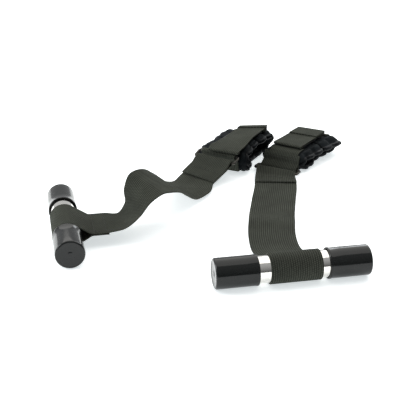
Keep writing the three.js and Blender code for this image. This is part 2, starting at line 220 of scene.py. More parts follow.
class StrapColours(bpy.types.PropertyGroup):
    chrome: colour("Chrome", "Plated bars", (0.86, 0.84, 0.80))
    ring: colour("Ring", "Dark plated wire of the rings", (0.055, 0.052, 0.047))
    vinyl: colour("Cap vinyl", "Push-on end caps", (0.0085, 0.0098, 0.0095))
    webbing: colour("Webbing rib", "Crest of the webbing's ribs", (0.056, 0.060, 0.049))
    # The valley colour is painted shade: it makes the webbing darker between its ribs, where shade falls.
    webbing_valley_shade: colour("Webbing valley", "Between the webbing's ribs", (0.014, 0.015, 0.012))
    thread: colour("Thread", "Sewing thread", (0.02, 0.0215, 0.018))
    cover: colour("Cover", "Brushed nylon outside of the cuffs", (0.006, 0.0078, 0.009))
    lining: colour("Lining", "Soft inside of the cuffs", (0.006, 0.007, 0.008))
    foam: colour("Foam", "Padding of the cuffs", (0.02, 0.021, 0.023))
    binding: colour("Binding", "Satin tape round the cuffs' edges", (0.003, 0.0038, 0.0046))
    pile: colour("Pile", "Loop tape under the flaps", (0.012, 0.012, 0.0125))
    hook: colour("Hook", "Hook tape on the flaps", (0.016, 0.016, 0.017))
    floor: colour("Floor", "Studio floor", (0.93, 0.93, 0.93))


class StudioSettings(bpy.types.PropertyGroup):
    camera_place: FloatVectorProperty(
        name="Camera place", description="Where the camera stands", default=(0.0042, -0.891, 0.386),
        size=3, subtype="TRANSLATION", unit="LENGTH")
    camera_dip: FloatProperty(
        name="Camera dip", description="How far the camera looks down", default=radians(23.6),
        subtype="ANGLE")
    focal_length: FloatProperty(
        name="Focal length", description="Lens, in millimetres on a 36 mm sensor", default=77.45)
    key_power: FloatProperty(
        name="Key power", description="Overhead softbox", default=25, unit="POWER")
    side_power: FloatProperty(
        name="Side power", description="Softboxes to both sides and behind", default=5, unit="POWER")


# ---------------------------------------------------------------- placing


def reach_of(node, origin, axis):
    """How far a CAD node reaches along an axis from an origin: lowest and highest."""
    reaches = [(vertex.co / MM - origin).dot(axis) for vertex in NODES[node].data.vertices]
    return min(reaches), max(reaches)


def directed(yaw, roll):
    level = cos(radians(roll))
    return Vector((cos(radians(yaw)) * level, sin(radians(yaw)) * level, sin(radians(roll))))


def spline(points, steps):
    """Points along a centripetal Catmull-Rom curve, with so many steps to each stretch."""
    points = [Vector(point) for point in points]
    chain = [2 * points[0] - points[1], *points, 2 * points[-1] - points[-2]]
    made = []
    for a, b, c, d in zip(chain, chain[1:], chain[2:], chain[3:]):
        spans = [(end - start).length ** 0.5 for start, end in ((a, b), (b, c), (c, d))]
        middle = spans[1] or 1
        t1 = spans[0] or middle
        t2 = t1 + middle
        t3 = t2 + (spans[2] or middle)
        for step in range(steps):
            t = t1 + (t2 - t1) * step / steps
            ab = a.lerp(b, t / t1)
            bc = b.lerp(c, (t - t1) / (t2 - t1))
            cd = c.lerp(d, (t - t2) / (t3 - t2))
            abc = ab.lerp(bc, t / t2)
            bcd = bc.lerp(cd, (t - t1) / (t3 - t1))
            made.append(abc.lerp(bcd, (t - t1) / (t2 - t1)))
    return [*made, points[-1]]


class Side:
    """Where one strap's pieces lie."""

    def __init__(self, name):
        self.name = name
        self.plan = STRAPS[name]
        self.seed = self.plan["seed"]
        spin = JOINTS[f"{name}_bar_spin"]
        peel = JOINTS[f"{name}_flap_peel"]
        self.bar = Vector(spin["pos_m"]) / MM
        self.bar_side = Vector(spin["axis"])
        self.bar_out = self.bar_side.cross(UP)
        self.shift = self.bar - Vector((*self.plan["bar_middle"], self.bar.z))
        self.tube_half = self.node_size(f"{name}_bar_tube", self.bar_side) / 2
        self.tube_radius = self.node_size(f"{name}_bar_tube", UP) / 2
        low, high = reach_of(f"{name}_bar_tube", self.bar, self.bar_side)
        self.bar_centre = self.bar + self.bar_side * (low + high) / 2

        self.across = Vector(peel["axis"])
        self.along = self.across.cross(UP)
        self.hinge = Vector(peel["pos_m"]) / MM
        low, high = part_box(f"{name}_cuff_cover")
        self.cuff_base = low.z / MM
        self.cuff_height = (high.z - low.z) / MM
        self.cuff_length = self.node_size(f"{name}_cuff_cover", self.along)
        middle = (low + high) / (2 * MM)
        origin = middle - self.along * self.cuff_length / 2
        origin.z = 0
        self.cuff = Matrix((self.along, self.across, UP)).transposed().to_4x4()
        self.cuff.translation = origin
        self.to_cuff = self.cuff.inverted()

    def in_cuff(self, point):
        """Where a point in the cuff's own frame lies, once its far part has leaned to one side."""
        ease = min(1, max(0, (point.x - LEAN_START) / LEAN_RUN))
        lean = self.plan["lean"] * ease * ease * (3 - 2 * ease)
        level = point.z * (1 - lean * point.y / LEAN_HALF_WIDTH)
        return self.cuff @ Vector((point.x, point.y, level))

    def node_size(self, node, axis):
        low, high = reach_of(node, Vector(), axis)
        return high - low

    def bar_station(self, along, height):
        at = self.bar + self.bar_out * along
        at.z = height
        return at, self.bar_side

    def on_nose(self, angle, lift):
        """A point off the cuff's rounded near end, in the cuff's own frame."""
        radius = self.cuff_height / 2
        return Vector((
            radius - (radius + lift) * cos(radians(angle)),
            0,
            self.cuff_base + radius + (radius + lift) * sin(radians(angle)),
        ))


class RingPlace:
    """Where the joining ring lies, and the strap end that is folded back round it."""

    def __init__(self, side):
        plan = side.plan
        heading = radians(plan["ring_heading"])
        level = cos(radians(plan["ring_pitch"]))
        self.turn = plan["strap_turn"]
        self.along = Vector((sin(heading) * level, cos(heading) * level, sin(radians(plan["ring_pitch"]))))
        self.side = Vector((-cos(heading), sin(heading), 0))
        self.up = self.along.cross(self.side).normalized()
        self.strap_along = self.turned(self.along, self.turn)
        self.cuff_wire = side.cuff @ side.on_nose(plan["tab_angle"], RING_LIFT)
        self.wire = self.cuff_wire - self.along * RING_PITCH

    def turned(self, direction, angle):
        return Matrix.Rotation(radians(angle), 3, self.up) @ direction

    def on_strap(self, ahead, above):
        return self.wire + self.strap_along * ahead + self.up * above

    def side_at(self, back):
        return self.turned(self.side, self.turn * back / FOLD_LENGTH)


# ---------------------------------------------------------------- mesh making


class Shape:
    """Points, faces and a flat width-and-length coordinate, gathered into one mesh."""

    def __init__(self):
        self.points = []
        self.faces = []
        self.flat = []

    def add(self, points, faces, flat=None):
        first = len(self.points)
        self.points += [Vector(point) for point in points]
        self.faces += [tuple(first + index for index in face) for face in faces]
        self.flat += list(flat) if flat is not None else [(0, 0)] * len(points)
        return self

    def piece(self, name, material, sharp=40):
        mesh = bpy.data.meshes.new(name)
        mesh.from_pydata([point * MM for point in self.points], [], self.faces)
        layer = mesh.uv_layers.new(name="flat")
        corners = np.empty(len(mesh.loops), np.int32)
        mesh.loops.foreach_get("vertex_index", corners)
        layer.data.foreach_set("uv", np.array(self.flat, np.float32)[corners].ravel())
        tidy_normals(mesh)
        mesh.shade_smooth()
        mesh.set_sharp_from_angle(angle=radians(sharp))
        mesh.materials.append(material)
        piece = bpy.data.objects.new(name, mesh)
        bpy.context.scene.collection.objects.link(piece)
        return piece


def tidy_normals(mesh):
    work = bmesh.new()
    work.from_mesh(mesh)
    bmesh.ops.recalc_face_normals(work, faces=work.faces)
    work.to_mesh(mesh)
    work.free()


def settle(shape, name, body, slot, *nodes, sharp=40, finished=None):
    """Makes a shape into a piece in its finish, fixes it to its body, and hides the plain solids
    that it stands for. Any last step on the mesh comes before it is fixed."""
    piece = shape.piece(name, finish_named(slot), sharp)
    if finished:
        piece = finished(piece)
    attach(piece, body)
    if nodes:
        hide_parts(*nodes)
    return piece


def rows_of_faces(rows, columns, closed_rows=False, closed_columns=True):
    faces = []
    for row in range(rows if closed_rows else rows - 1):
        for column in range(columns if closed_columns else columns - 1):
            here = row * columns + column
            beside = row * columns + (column + 1) % columns
            above = ((row + 1) % rows) * columns
            faces.append((here, beside, above + (column + 1) % columns, above + column))
    return faces


def turned_shape(profile, centre, axis, steps=144):
    """Turns a closed outline of (radius, distance along) round an axis."""
    first = axis.orthogonal().normalized()
    second = axis.cross(first)
    shape = Shape()
    points = []
    for step in range(steps):
        angle = 2 * pi * step / steps
        out = first * cos(angle) + second * sin(angle)
        points += [centre + out * radius + axis * ahead for radius, ahead in profile]
    shape.add(points, rows_of_faces(steps, len(profile), closed_rows=True))
    return shape


def tube_shape(shape, points, radii, sides=8, closed=False):
    """Adds a round wire or thread along points, with one radius to each point."""
    count = len(points)
    normal = None
    made = []
    for index, point in enumerate(points):
        before = points[index - 1] if closed or index else point
        after = points[(index + 1) % count] if closed or index + 1 < count else point
        along = (after - before).normalized()
        normal = along.orthogonal() if normal is None else normal - along * normal.dot(along)
        normal.normalize()
        other = along.cross(normal)
        for turn in range(sides):
            angle = 2 * pi * turn / sides
            made.append(point + (normal * cos(angle) + other * sin(angle)) * radii[index])
    faces = rows_of_faces(count, sides, closed_rows=closed)
    if not closed:
        faces.append(tuple(range(sides)))
        faces.append(tuple(range(sides * (count - 1), sides * count)))
    return shape.add(made, faces)


def rounded(middle, radius, start, end, steps):
    """Points on an arc in an outline, from one angle in degrees to another."""
    made = []
    for step in range(steps + 1):
        angle = radians(start + (end - start) * step / steps)
        made.append((middle[0] + radius * cos(angle), middle[1] + radius * sin(angle)))
    return made


# ---------------------------------------------------------------- webbing


def sampled(at, reach, rows):
    """Rows of numbers, known at each reach, as they are at other places along it."""
    return np.array([np.interp(at, reach, column) for column in rows.T]).T


class Ribbon:
    """A strip of webbing along stations, each the strip's middle and the way to its left-hand edge."""

    def __init__(self, stations, width, thick=WEBBING_THICK):
        middles = np.array([tuple(at) for at, _ in stations])
        sides = np.array([tuple(side) for _, side in stations])
        steps = np.linalg.norm(np.diff(middles, axis=0), axis=1)
        self.reach = np.concatenate(([0], np.cumsum(steps)))
        self.length = self.reach[-1]
        self.middles = middles
        self.sides = sides / np.linalg.norm(sides, axis=1)[:, None]
        ahead = np.gradient(middles, axis=0)
        self.ups = np.cross(ahead, self.sides)
        self.ups /= np.linalg.norm(self.ups, axis=1)[:, None]
        self.width = width
        self.thick = thick
        self.warp = lambda reach, across: 0

    def on(self, reach, across, lift):
        """A point on the strip and the way out of its upper face."""
        middle, side, up = (Vector(sampled(reach, self.reach, rows))
                            for rows in (self.middles, self.sides, self.ups))
        up.normalize()
        return middle + side.normalized() * across + up * (lift + self.warp(reach, across)), up

    def outline(self, columns=30):
        """The strip's section: dense at the selvedges, which are a little thinner than the rest."""
        half = self.width / 2
        upper = []
        for column in range(columns + 1):
            across = half * cos(pi * column / columns)
            inside = half - abs(across)
            edge = sqrt(max(0, 1 - (1 - min(1, inside / 0.7)) ** 2))
            groove = 1 - 0.22 * exp(-((inside - 2.6) / 0.5) ** 2)
            upper.append((across, self.thick / 2 * edge * groove))
        return upper + [(across, -lift) for across, lift in upper[-2:0:-1]]

    def shape(self):
        outline = self.outline()
        shape = Shape()
        points, flat = [], []
        for index, reach in enumerate(self.reach):
            middle, side, up = (Vector(rows[index]) for rows in (self.middles, self.sides, self.ups))
            for across, lift in outline:
                points.append(middle + side * across + up * (lift + self.warp(reach, across)))
                flat.append((across, reach))
        count = len(outline)
        faces = rows_of_faces(len(self.reach), count)
        faces.append(tuple(range(count)))
        faces.append(tuple(range(len(points) - count, len(points))))
        return shape.add(points, faces, flat)


def loop_stations(side):
    """The webbing's sewn tail, its turn round the bar, and back to where the two legs meet."""
    plan = side.plan
    radius = side.tube_radius + RUNNING_GAP + WEBBING_THICK / 2
    upper = plan["merge_height"] + LAYER_STEP / 2
    lower = plan["merge_height"] - LAYER_STEP / 2
    slope = tan(radians(plan["exit_pitch"]))

    def touch(height, turn):
        drop = height - side.bar.z
        return atan2(drop, LOOP_MERGE) + turn * acos(radius / hypot(LOOP_MERGE, drop))

    start = touch(lower, -1)
    end = touch(upper, 1) - 2 * pi
    tail = [side.bar_station(LOOP_MERGE + LOOP_SEAM * (1 - step / 10),
                             lower + slope * LOOP_SEAM * (1 - step / 10)) for step in range(10)]
    legs = [side.bar_station(LOOP_MERGE, lower)]
    steps = 90
    for step in range(steps + 1):
        angle = start + (end - start) * step / steps
        legs.append(side.bar_station(radius * cos(angle), side.bar.z + radius * sin(angle)))
    legs.append(side.bar_station(LOOP_MERGE, upper))
    legs[0:2] = between(legs[0], legs[1], 8)
    legs[-2:] = between(legs[-2], legs[-1], 8)
    return tail + legs


def between(first, last, steps):
    return [(first[0].lerp(last[0], step / steps), first[1]) for step in range(steps + 1)]


def route_stations(side, ring):
    plan = side.plan
    slope = tan(radians(plan["exit_pitch"]))
    start, _ = side.bar_station(
        LOOP_MERGE + LOOP_SEAM, plan["merge_height"] + LAYER_STEP / 2 + slope * LOOP_SEAM)
    seam = ring.side_at(FOLD_LENGTH)
    places = [Vector(row[:3]) + side.shift for row in plan["route"]]
    places = [start, *places, ring.on_strap(-FOLD_LENGTH - 2, -FOLD_RADIUS)]
    turns = [(degrees(atan2(way.y, way.x)) % 360, 0, 0) for way in (side.bar_side, seam)]
    turns[1:1] = [(row[3], row[4], 0) for row in plan["route"]]
    steps = 12
    return [(at, directed(turn.x, turn.y)) for at, turn in zip(spline(places, steps), spline(turns, steps))]


def fold_stations(ring):
    stations = [(ring.on_strap(-FOLD_NECK, -FOLD_RADIUS), ring.side_at(FOLD_NECK))]
    steps = 26
    for step in range(steps + 1):
        angle = -pi / 2 + pi * step / steps
        stations.append((ring.on_strap(FOLD_RADIUS * cos(angle), FOLD_RADIUS * sin(angle)), ring.side))
    level = LAYER_STEP - FOLD_RADIUS
    back = 24
    for step in range(1, back + 1):
        behind = FOLD_NECK + (FOLD_LENGTH - FOLD_NECK) * step / back
        stations.append((ring.on_strap(-behind, level), ring.side_at(behind)))
    return stations


def smooth_stations(stations, spacing=1.1):
    """Spaces stations evenly and rounds off the small corners between their stretches."""
    middles = np.array([tuple(at) for at, _ in stations])
    sides = np.array([tuple(side) for _, side in stations])
    steps = np.linalg.norm(np.diff(middles, axis=0), axis=1)
    keep = np.concatenate(([True], steps > 1e-4))
    middles, sides = middles[keep], sides[keep]
    reach = np.concatenate(([0], np.cumsum(np.linalg.norm(np.diff(middles, axis=0), axis=1))))
    even = np.linspace(0, reach[-1], int(reach[-1] / spacing) + 1)
    middles, sides = (sampled(even, reach, rows) for rows in (middles, sides))
    for rows in (middles, sides, middles, sides):
        rows[1:-1] = (rows[:-2] + 2 * rows[1:-1] + rows[2:]) / 4
    return [(Vector(middle), Vector(way).normalized()) for middle, way in zip(middles, sides)]


def soft_waves(seed, height, start, end):
    """Slight waves and cupping of a strip, dying out before its sewn ends."""
    def warp(reach, across):
        ease = min(1, max(0, (reach - start) / 20), max(0, (end - reach) / 20))
        if not ease:
            return 0
        wave = noise.noise(Vector((across / 26, reach / 34, seed)))
        ripple = noise.noise(Vector((across / 9, reach / 15, seed + 5)))
        cup = (across / 24) ** 2 - 0.4
        return ease * (height * wave + 0.3 * height * ripple + 0.25 * cup)
    return warp


def strap_ribbon(side):
    """The whole strap, from the cut end under the bar's loop to the cut end behind the ring."""
    ring = RingPlace(side)
    loop = loop_stations(side)
    stations = loop + route_stations(side, ring) + fold_stations(ring)
    bare = Ribbon(smooth_stations(stations), WEBBING_WIDTH)
    sewn = Ribbon(loop, WEBBING_WIDTH).length
    bare.merge = sewn
    bare.warp = soft_waves(side.seed, 1.0, sewn + LOOP_SEAM, bare.length - 2 * FOLD_LENGTH - 4)
    return bare


# ---------------------------------------------------------------- sewing


def stitch_line(shape, ribbon, start, end, lift, sizes):
    """A row of stitches over a strip, from one (reach, across) to another."""
    pitch = sizes.stitch_pitch / MM
    radius = sizes.thread_radius / MM
    run = hypot(end[0] - start[0], end[1] - start[1])
    count = max(1, round(run / pitch))
    for number in range(count):
        points = []
        for step in range(6):
            share = (number + 0.08 + 0.84 * step / 5) / count
            place = [start[axis] + (end[axis] - start[axis]) * share for axis in (0, 1)]
            bow = sin(pi * step / 5)
            sink = lift + (radius * 0.55 * bow - radius * (1 - bow)) * (1 if lift > 0 else -1)
            points.append(ribbon.on(place[0], place[1], sink)[0])
        radii = [radius * (0.6 + 0.4 * sin(pi * step / 5)) for step in range(6)]
        tube_shape(shape, points, radii, sides=6)


def box_stitch(shape, ribbon, near, far, half_width, lift, sizes):
    """A rectangle of stitches over a strip."""
    corners = [(near, -half_width), (near, half_width), (far, half_width), (far, -half_width)]
    for first, last in zip(corners, corners[1:] + corners[:1]):
        stitch_line(shape, ribbon, first, last, lift, sizes)


# ---------------------------------------------------------------- materials


def add_node(tree, kind, settings=(), **inputs):
    """Adds a shader node. An input goes by its name, or by its number as i0, i1 and so on."""
    node = tree.nodes.new("ShaderNode" + kind)
    for setting, value in dict(settings).items():
        setattr(node, setting, value)
    for socket, value in inputs.items():
        target = node.inputs[int(socket[1:]) if socket[1:].isdigit() else socket.replace("_", " ")]
        if isinstance(value, bpy.types.NodeSocket):
            tree.links.new(value, target)
        else:
            target.default_value = value
    return node


def tint(colour, gain, lift=0):
    return tuple(channel * gain + lift for channel in colour)


class Finish:
    """Short ways to set up one material's nodes."""

    def __init__(self, name, **sockets):
        self.material = bpy.data.materials.new(f"{name} finish")
        self.material.use_nodes = True
        self.tree = self.material.node_tree
        self.shader = self.tree.nodes["Principled BSDF"]
        for socket, value in sockets.items():
            self.shader.inputs[socket.replace("_", " ")].default_value = value
        self.coordinates = self.tree.nodes.new("ShaderNodeTexCoord")

    def node(self, kind, settings=(), **inputs):
        return add_node(self.tree, kind, settings, **inputs)

    def math(self, operation, first, second=0.0, third=0.0):
        return self.node("Math", {"operation": operation}, i0=first, i1=second, i2=third).outputs[0]

    def noise(self, scale, detail=4.0, rough=0.55):
        return self.node("TexNoise", Vector=self.coordinates.outputs["Object"], Scale=scale,
                         Detail=detail, Roughness=rough).outputs["Fac"]

    def cells(self, scale):
        place = self.coordinates.outputs["Object"]
        return self.node("TexVoronoi", Vector=place, Scale=scale).outputs["Distance"]

    def spread(self, value, low, high, to_low=0.0, to_high=1.0):
        return self.node("MapRange", i0=value, i1=low, i2=high, i3=to_low, i4=to_high).outputs[0]

    def mix(self, share, first, second):
        ends = [value if isinstance(value, bpy.types.NodeSocket) else (*value, 1)
                for value in (first, second)]
        return self.node("Mix", {"data_type": "RGBA"}, i0=share, i6=ends[0], i7=ends[1]).outputs[2]

    def wire(self, value, socket):
        self.tree.links.new(value, self.shader.inputs[socket])

    def vary(self, share, colour, gain):
        """A base colour that goes from the colour itself to gain times it, as share goes from 0 to 1."""
        self.wire(self.mix(share, colour, tint(colour, gain)), "Base Color")

    def rough(self, value, *spread):
        self.wire(self.spread(value, *spread), "Roughness")

    def bump(self, height, depth, strength=1.0):
        """Raises the surface by height, 0 to 1, times depth in millimetres."""
        bump = self.node("Bump", Height=height, Distance=depth * MM, Strength=strength)
        earlier = self.shader.inputs["Normal"].links
        if earlier:
            self.tree.links.new(earlier[0].from_socket, bump.inputs["Normal"])
        self.wire(bump.outputs[0], "Normal")

    def flat(self):
        """Across and along a strip, in millimetres."""
        parts = self.node("SeparateXYZ", Vector=self.coordinates.outputs["UV"])
        return parts.outputs[0], parts.outputs[1]


def chrome_finish(colours):
    finish = Finish("chrome", Base_Color=(*colours.chrome, 1), Metallic=1.0, Roughness=0.1)
    smudge = finish.noise(60, 3)
    scratch = finish.node(
        "TexNoise", Vector=finish.node(
            "Mapping", Vector=finish.coordinates.outputs["Object"], Scale=(40, 40, 900)).outputs[0],
        Scale=4.0, Detail=3.0).outputs["Fac"]
    finish.wire(finish.math("MULTIPLY_ADD", smudge, 0.1, finish.spread(scratch, 0.4, 0.7, 0.02, 0.08)),
                "Roughness")
    finish.bump(finish.noise(350, 2), 0.015, 0.5)
    return finish.material


def ring_finish(colours):
    """Dark nickel plate, rubbed brighter here and there."""
    finish = Finish("ring_steel", Metallic=1.0, Roughness=0.3)
    rub = finish.spread(finish.noise(180, 4), 0.5, 0.68)
    finish.vary(rub, colours.ring, 2.4)
    finish.rough(rub, 0, 1, 0.36, 0.2)
    finish.bump(finish.noise(600, 3), 0.02, 0.6)
    return finish.material


def vinyl_finish(colours):
    finish = Finish("cap_vinyl", Base_Color=(*colours.vinyl, 1), Roughness=0.12, IOR=1.5,
                    Specular_IOR_Level=0.36)
    haze = finish.noise(45, 4)
    scuff = finish.spread(finish.noise(260, 6, 0.7), 0.60, 0.74)
    soiled = finish.spread(haze, 0.3, 0.7, 0.07, 0.16)
    finish.wire(finish.math("MULTIPLY_ADD", scuff, 0.25, soiled), "Roughness")
    worn = tint(colours.vinyl, 3, 0.01)
    finish.wire(finish.mix(finish.math("MULTIPLY", scuff, 0.35), colours.vinyl, worn), "Base Color")
    finish.bump(finish.noise(900, 2), 0.012, 0.6)
    finish.bump(finish.noise(110, 2), 0.05, 0.35)
    return finish.material


def webbing_finish(colours, sizes):
    """Lengthwise ribs crossed by picks that are staggered from one rib to the next. The valleys between the
    ribs are darkened with painted shade.
    """
    finish = Finish("webbing", Roughness=0.78, Sheen_Weight=0.012, Sheen_Roughness=0.45,
                    Sheen_Tint=(0.75, 0.78, 0.7, 1), Specular_IOR_Level=0.05)
    across, along = finish.flat()
    rib = finish.math("DIVIDE", across, sizes.rib_pitch / MM)
    row = finish.math("MODULO", finish.math("ABSOLUTE", finish.math("FLOOR", rib)), 2.0)
    pick = finish.math("ADD", finish.math("DIVIDE", along, sizes.pick_pitch / MM),
                       finish.math("MULTIPLY", row, 0.5))
    ridge = finish.math("SINE", finish.math("MULTIPLY", finish.math("FRACT", rib), pi))
    bead = finish.math("SINE", finish.math("MULTIPLY", finish.math("FRACT", pick), pi))
    weave = finish.math("MULTIPLY", finish.math("POWER", ridge, 0.7),
                        finish.math("MULTIPLY_ADD", bead, 0.6, 0.4))
    fibre = finish.noise(1500, 4, 0.65)
    fade = finish.noise(35, 3)
    light = tint(colours.webbing, 1.35)
    crest = finish.mix(finish.spread(fade, 0.35, 0.7), colours.webbing, light)
    # Painted shade: the low places of the weave, between the ribs, take the darker valley colour.
    body = finish.mix(finish.spread(weave, 0.1, 0.85), colours.webbing_valley_shade, crest)
    half = WEBBING_WIDTH / 2
    edge = finish.spread(finish.math("ABSOLUTE", across), half - 1.4, half)
    fuzz = finish.math("MULTIPLY", edge, finish.spread(fibre, 0.4, 0.7))
    finish.wire(finish.mix(finish.math("MULTIPLY", fuzz, 0.4), body, light), "Base Color")
    finish.rough(weave, 0, 1, 0.92, 0.66)
    finish.bump(weave, 0.32, 0.9)
    finish.bump(fibre, 0.06, 0.6)
    return finish.material


def thread_finish(colours):
    finish = Finish("thread", Roughness=0.6, Sheen_Weight=0.05, Sheen_Roughness=0.4,
                    Specular_IOR_Level=0.3)
    twist = finish.noise(2600, 2)
    finish.vary(finish.spread(twist, 0.35, 0.65), colours.thread, 2.2)
    finish.bump(twist, 0.05, 0.8)
    return finish.material


def cover_finish(colours):
    """Brushed nylon knit: a fine nap over a close knit, with a cool sheen."""
    finish = Finish("cover_fabric", Roughness=0.72, Sheen_Weight=0.02, Sheen_Roughness=0.3,
                    Sheen_Tint=(0.62, 0.74, 0.95, 1), Specular_IOR_Level=0.08)
    knit = finish.cells(1500)
    nap = finish.noise(700, 5, 0.6)
    shade = finish.noise(90, 4)
    body = finish.mix(finish.spread(shade, 0.4, 0.75), colours.cover, tint(colours.cover, 2.1))
    dark = tint(colours.cover, 0.5)
    finish.wire(finish.mix(finish.spread(knit, 0.0, 0.6, 0.5, 0.0), body, dark), "Base Color")
    finish.rough(nap, 0.3, 0.7, 0.62, 0.86)
    finish.bump(nap, 0.12, 0.7)
    finish.bump(knit, 0.06, 0.6)
    return finish.material


def lining_finish(colours):
    """Loop knit: small round loops, matt."""
    finish = Finish("lining_fabric", Roughness=0.95, Sheen_Weight=0.02, Sheen_Roughness=0.6,
                    Specular_IOR_Level=0.06)
    loops = finish.cells(900)
    drift = finish.noise(60, 3)
    finish.vary(finish.math("MULTIPLY", finish.spread(loops, 0.1, 0.6), drift), colours.lining, 1.9)
    finish.rough(drift, 0.3, 0.7, 0.88, 1.0)
    finish.bump(loops, 0.2, 0.8)
    return finish.material


def foam_finish(colours):
    finish = Finish("foam", Roughness=0.95)
    cells = finish.cells(1400)
    finish.vary(finish.spread(cells, 0.1, 0.6), colours.foam, 1.5)
    finish.rough(cells, 0, 0.6, 1.0, 0.85)
    finish.bump(cells, 0.18, 0.8)
    return finish.material


def binding_finish(colours):
    """Satin tape: fine crosswise ribs and a soft shine."""
    finish = Finish("binding_tape", Roughness=0.6, Sheen_Weight=0.015, Sheen_Roughness=0.3,
                    Sheen_Tint=(0.7, 0.78, 0.95, 1), Specular_IOR_Level=0.07)
    _, along = finish.flat()
    rib = finish.math("SINE", finish.math("MULTIPLY", along, 2 * pi / 0.8))
    drift = finish.noise(140, 4)
    finish.vary(finish.spread(drift, 0.4, 0.7), colours.binding, 2.2)
    finish.rough(drift, 0.3, 0.7, 0.36, 0.55)
    finish.bump(finish.spread(rib, -1, 1), 0.05, 0.6)
    finish.bump(finish.noise(420, 3), 0.1, 0.5)
    return finish.material


def pile_finish(colours):
    finish = Finish("pile_tape", Roughness=1.0, Sheen_Weight=0.1, Sheen_Roughness=0.5)
    tufts = finish.cells(1100)
    drift = finish.noise(200, 5, 0.7)
    finish.vary(finish.math("MULTIPLY", finish.spread(tufts, 0.0, 0.6), drift), colours.pile, 2.5)
    finish.rough(drift, 0.3, 0.7, 0.9, 1.0)
    finish.bump(tufts, 0.4, 0.9)
    finish.bump(drift, 0.3, 0.6)
    return finish.material


def hook_finish(colours):
    finish = Finish("hook_tape", Roughness=0.5, Specular_IOR_Level=0.5)
    weave = finish.cells(1700)
    shade = finish.noise(300, 3)
    finish.vary(finish.spread(shade, 0.4, 0.65), colours.hook, 2)
    finish.rough(shade, 0.3, 0.7, 0.4, 0.62)
    finish.bump(weave, 0.12, 0.7)
    return finish.material


def floor_finish(colours):
    finish = Finish("studio_floor", Roughness=0.75, Specular_IOR_Level=0.05,
                    Emission_Color=(0.93, 0.985, 1, 1), Emission_Strength=0.62)
    grain = finish.noise(25, 5)
    finish.vary(finish.spread(grain, 0.35, 0.7), colours.floor, 0.985)
    finish.rough(grain, 0.3, 0.7, 0.7, 0.85)
    return finish.material


def finish_named(name):
    """The material of that name, made the first time that it is asked for."""
    if f"{name} finish" in bpy.data.materials:
        return bpy.data.materials[f"{name} finish"]
    scene = bpy.context.scene
    makers = {
        "chrome": chrome_finish, "ring_steel": ring_finish, "cap_vinyl": vinyl_finish,
        "thread": thread_finish,
        "cover_fabric": cover_finish, "lining_fabric": lining_finish, "foam": foam_finish,
        "binding_tape": binding_finish, "pile_tape": pile_finish, "hook_tape": hook_finish,
        "studio_floor": floor_finish,
    }
    if name == "webbing":
        return webbing_finish(scene.strap_colours, scene.strap_sizes)
    return makers[name](scene.strap_colours)


# ---------------------------------------------------------------- padded cuffs


def loop_line(side, start, end, spacing):
    """Points round the cuff's outer face from one end of the panel to the other, each with its
    inward direction and its distance along the loop, in the cuff's own frame."""
    radius = side.cuff_height / 2
    middle = side.cuff_base + radius
    near = radius
    far = side.cuff_length - radius
    arc = pi * radius
    made = []
    reach = 0

    def stretch(count, place):
        for step in range(count):
            made.append(place(step / count))

    def lay(size, place):
        nonlocal reach
        count = max(2, round(size / spacing))
        begin = reach
        stretch(count, lambda share: (*place(share), begin + size * share))
        reach += size

    def bend(centre, first):
        def place(share):
            angle = first + pi * share
            out = Vector((cos(angle), sin(angle)))
            return Vector((centre, middle)) + out * radius, -out
        return place

    def run(first, last, way):
        def place(share):
            return Vector((first + (last - first) * share, middle + way * radius)), Vector((0, -way))
        return place

    lay(start - near, run(start, near, 1))
    lay(arc, bend(near, pi / 2))
    lay(far - near, run(near, far, -1))
    lay(arc, bend(far, -pi / 2))
    lay(far - end, run(far, end, 1))
    made.append((Vector((end, middle + radius)), Vector((0, -1)), reach))
    return made


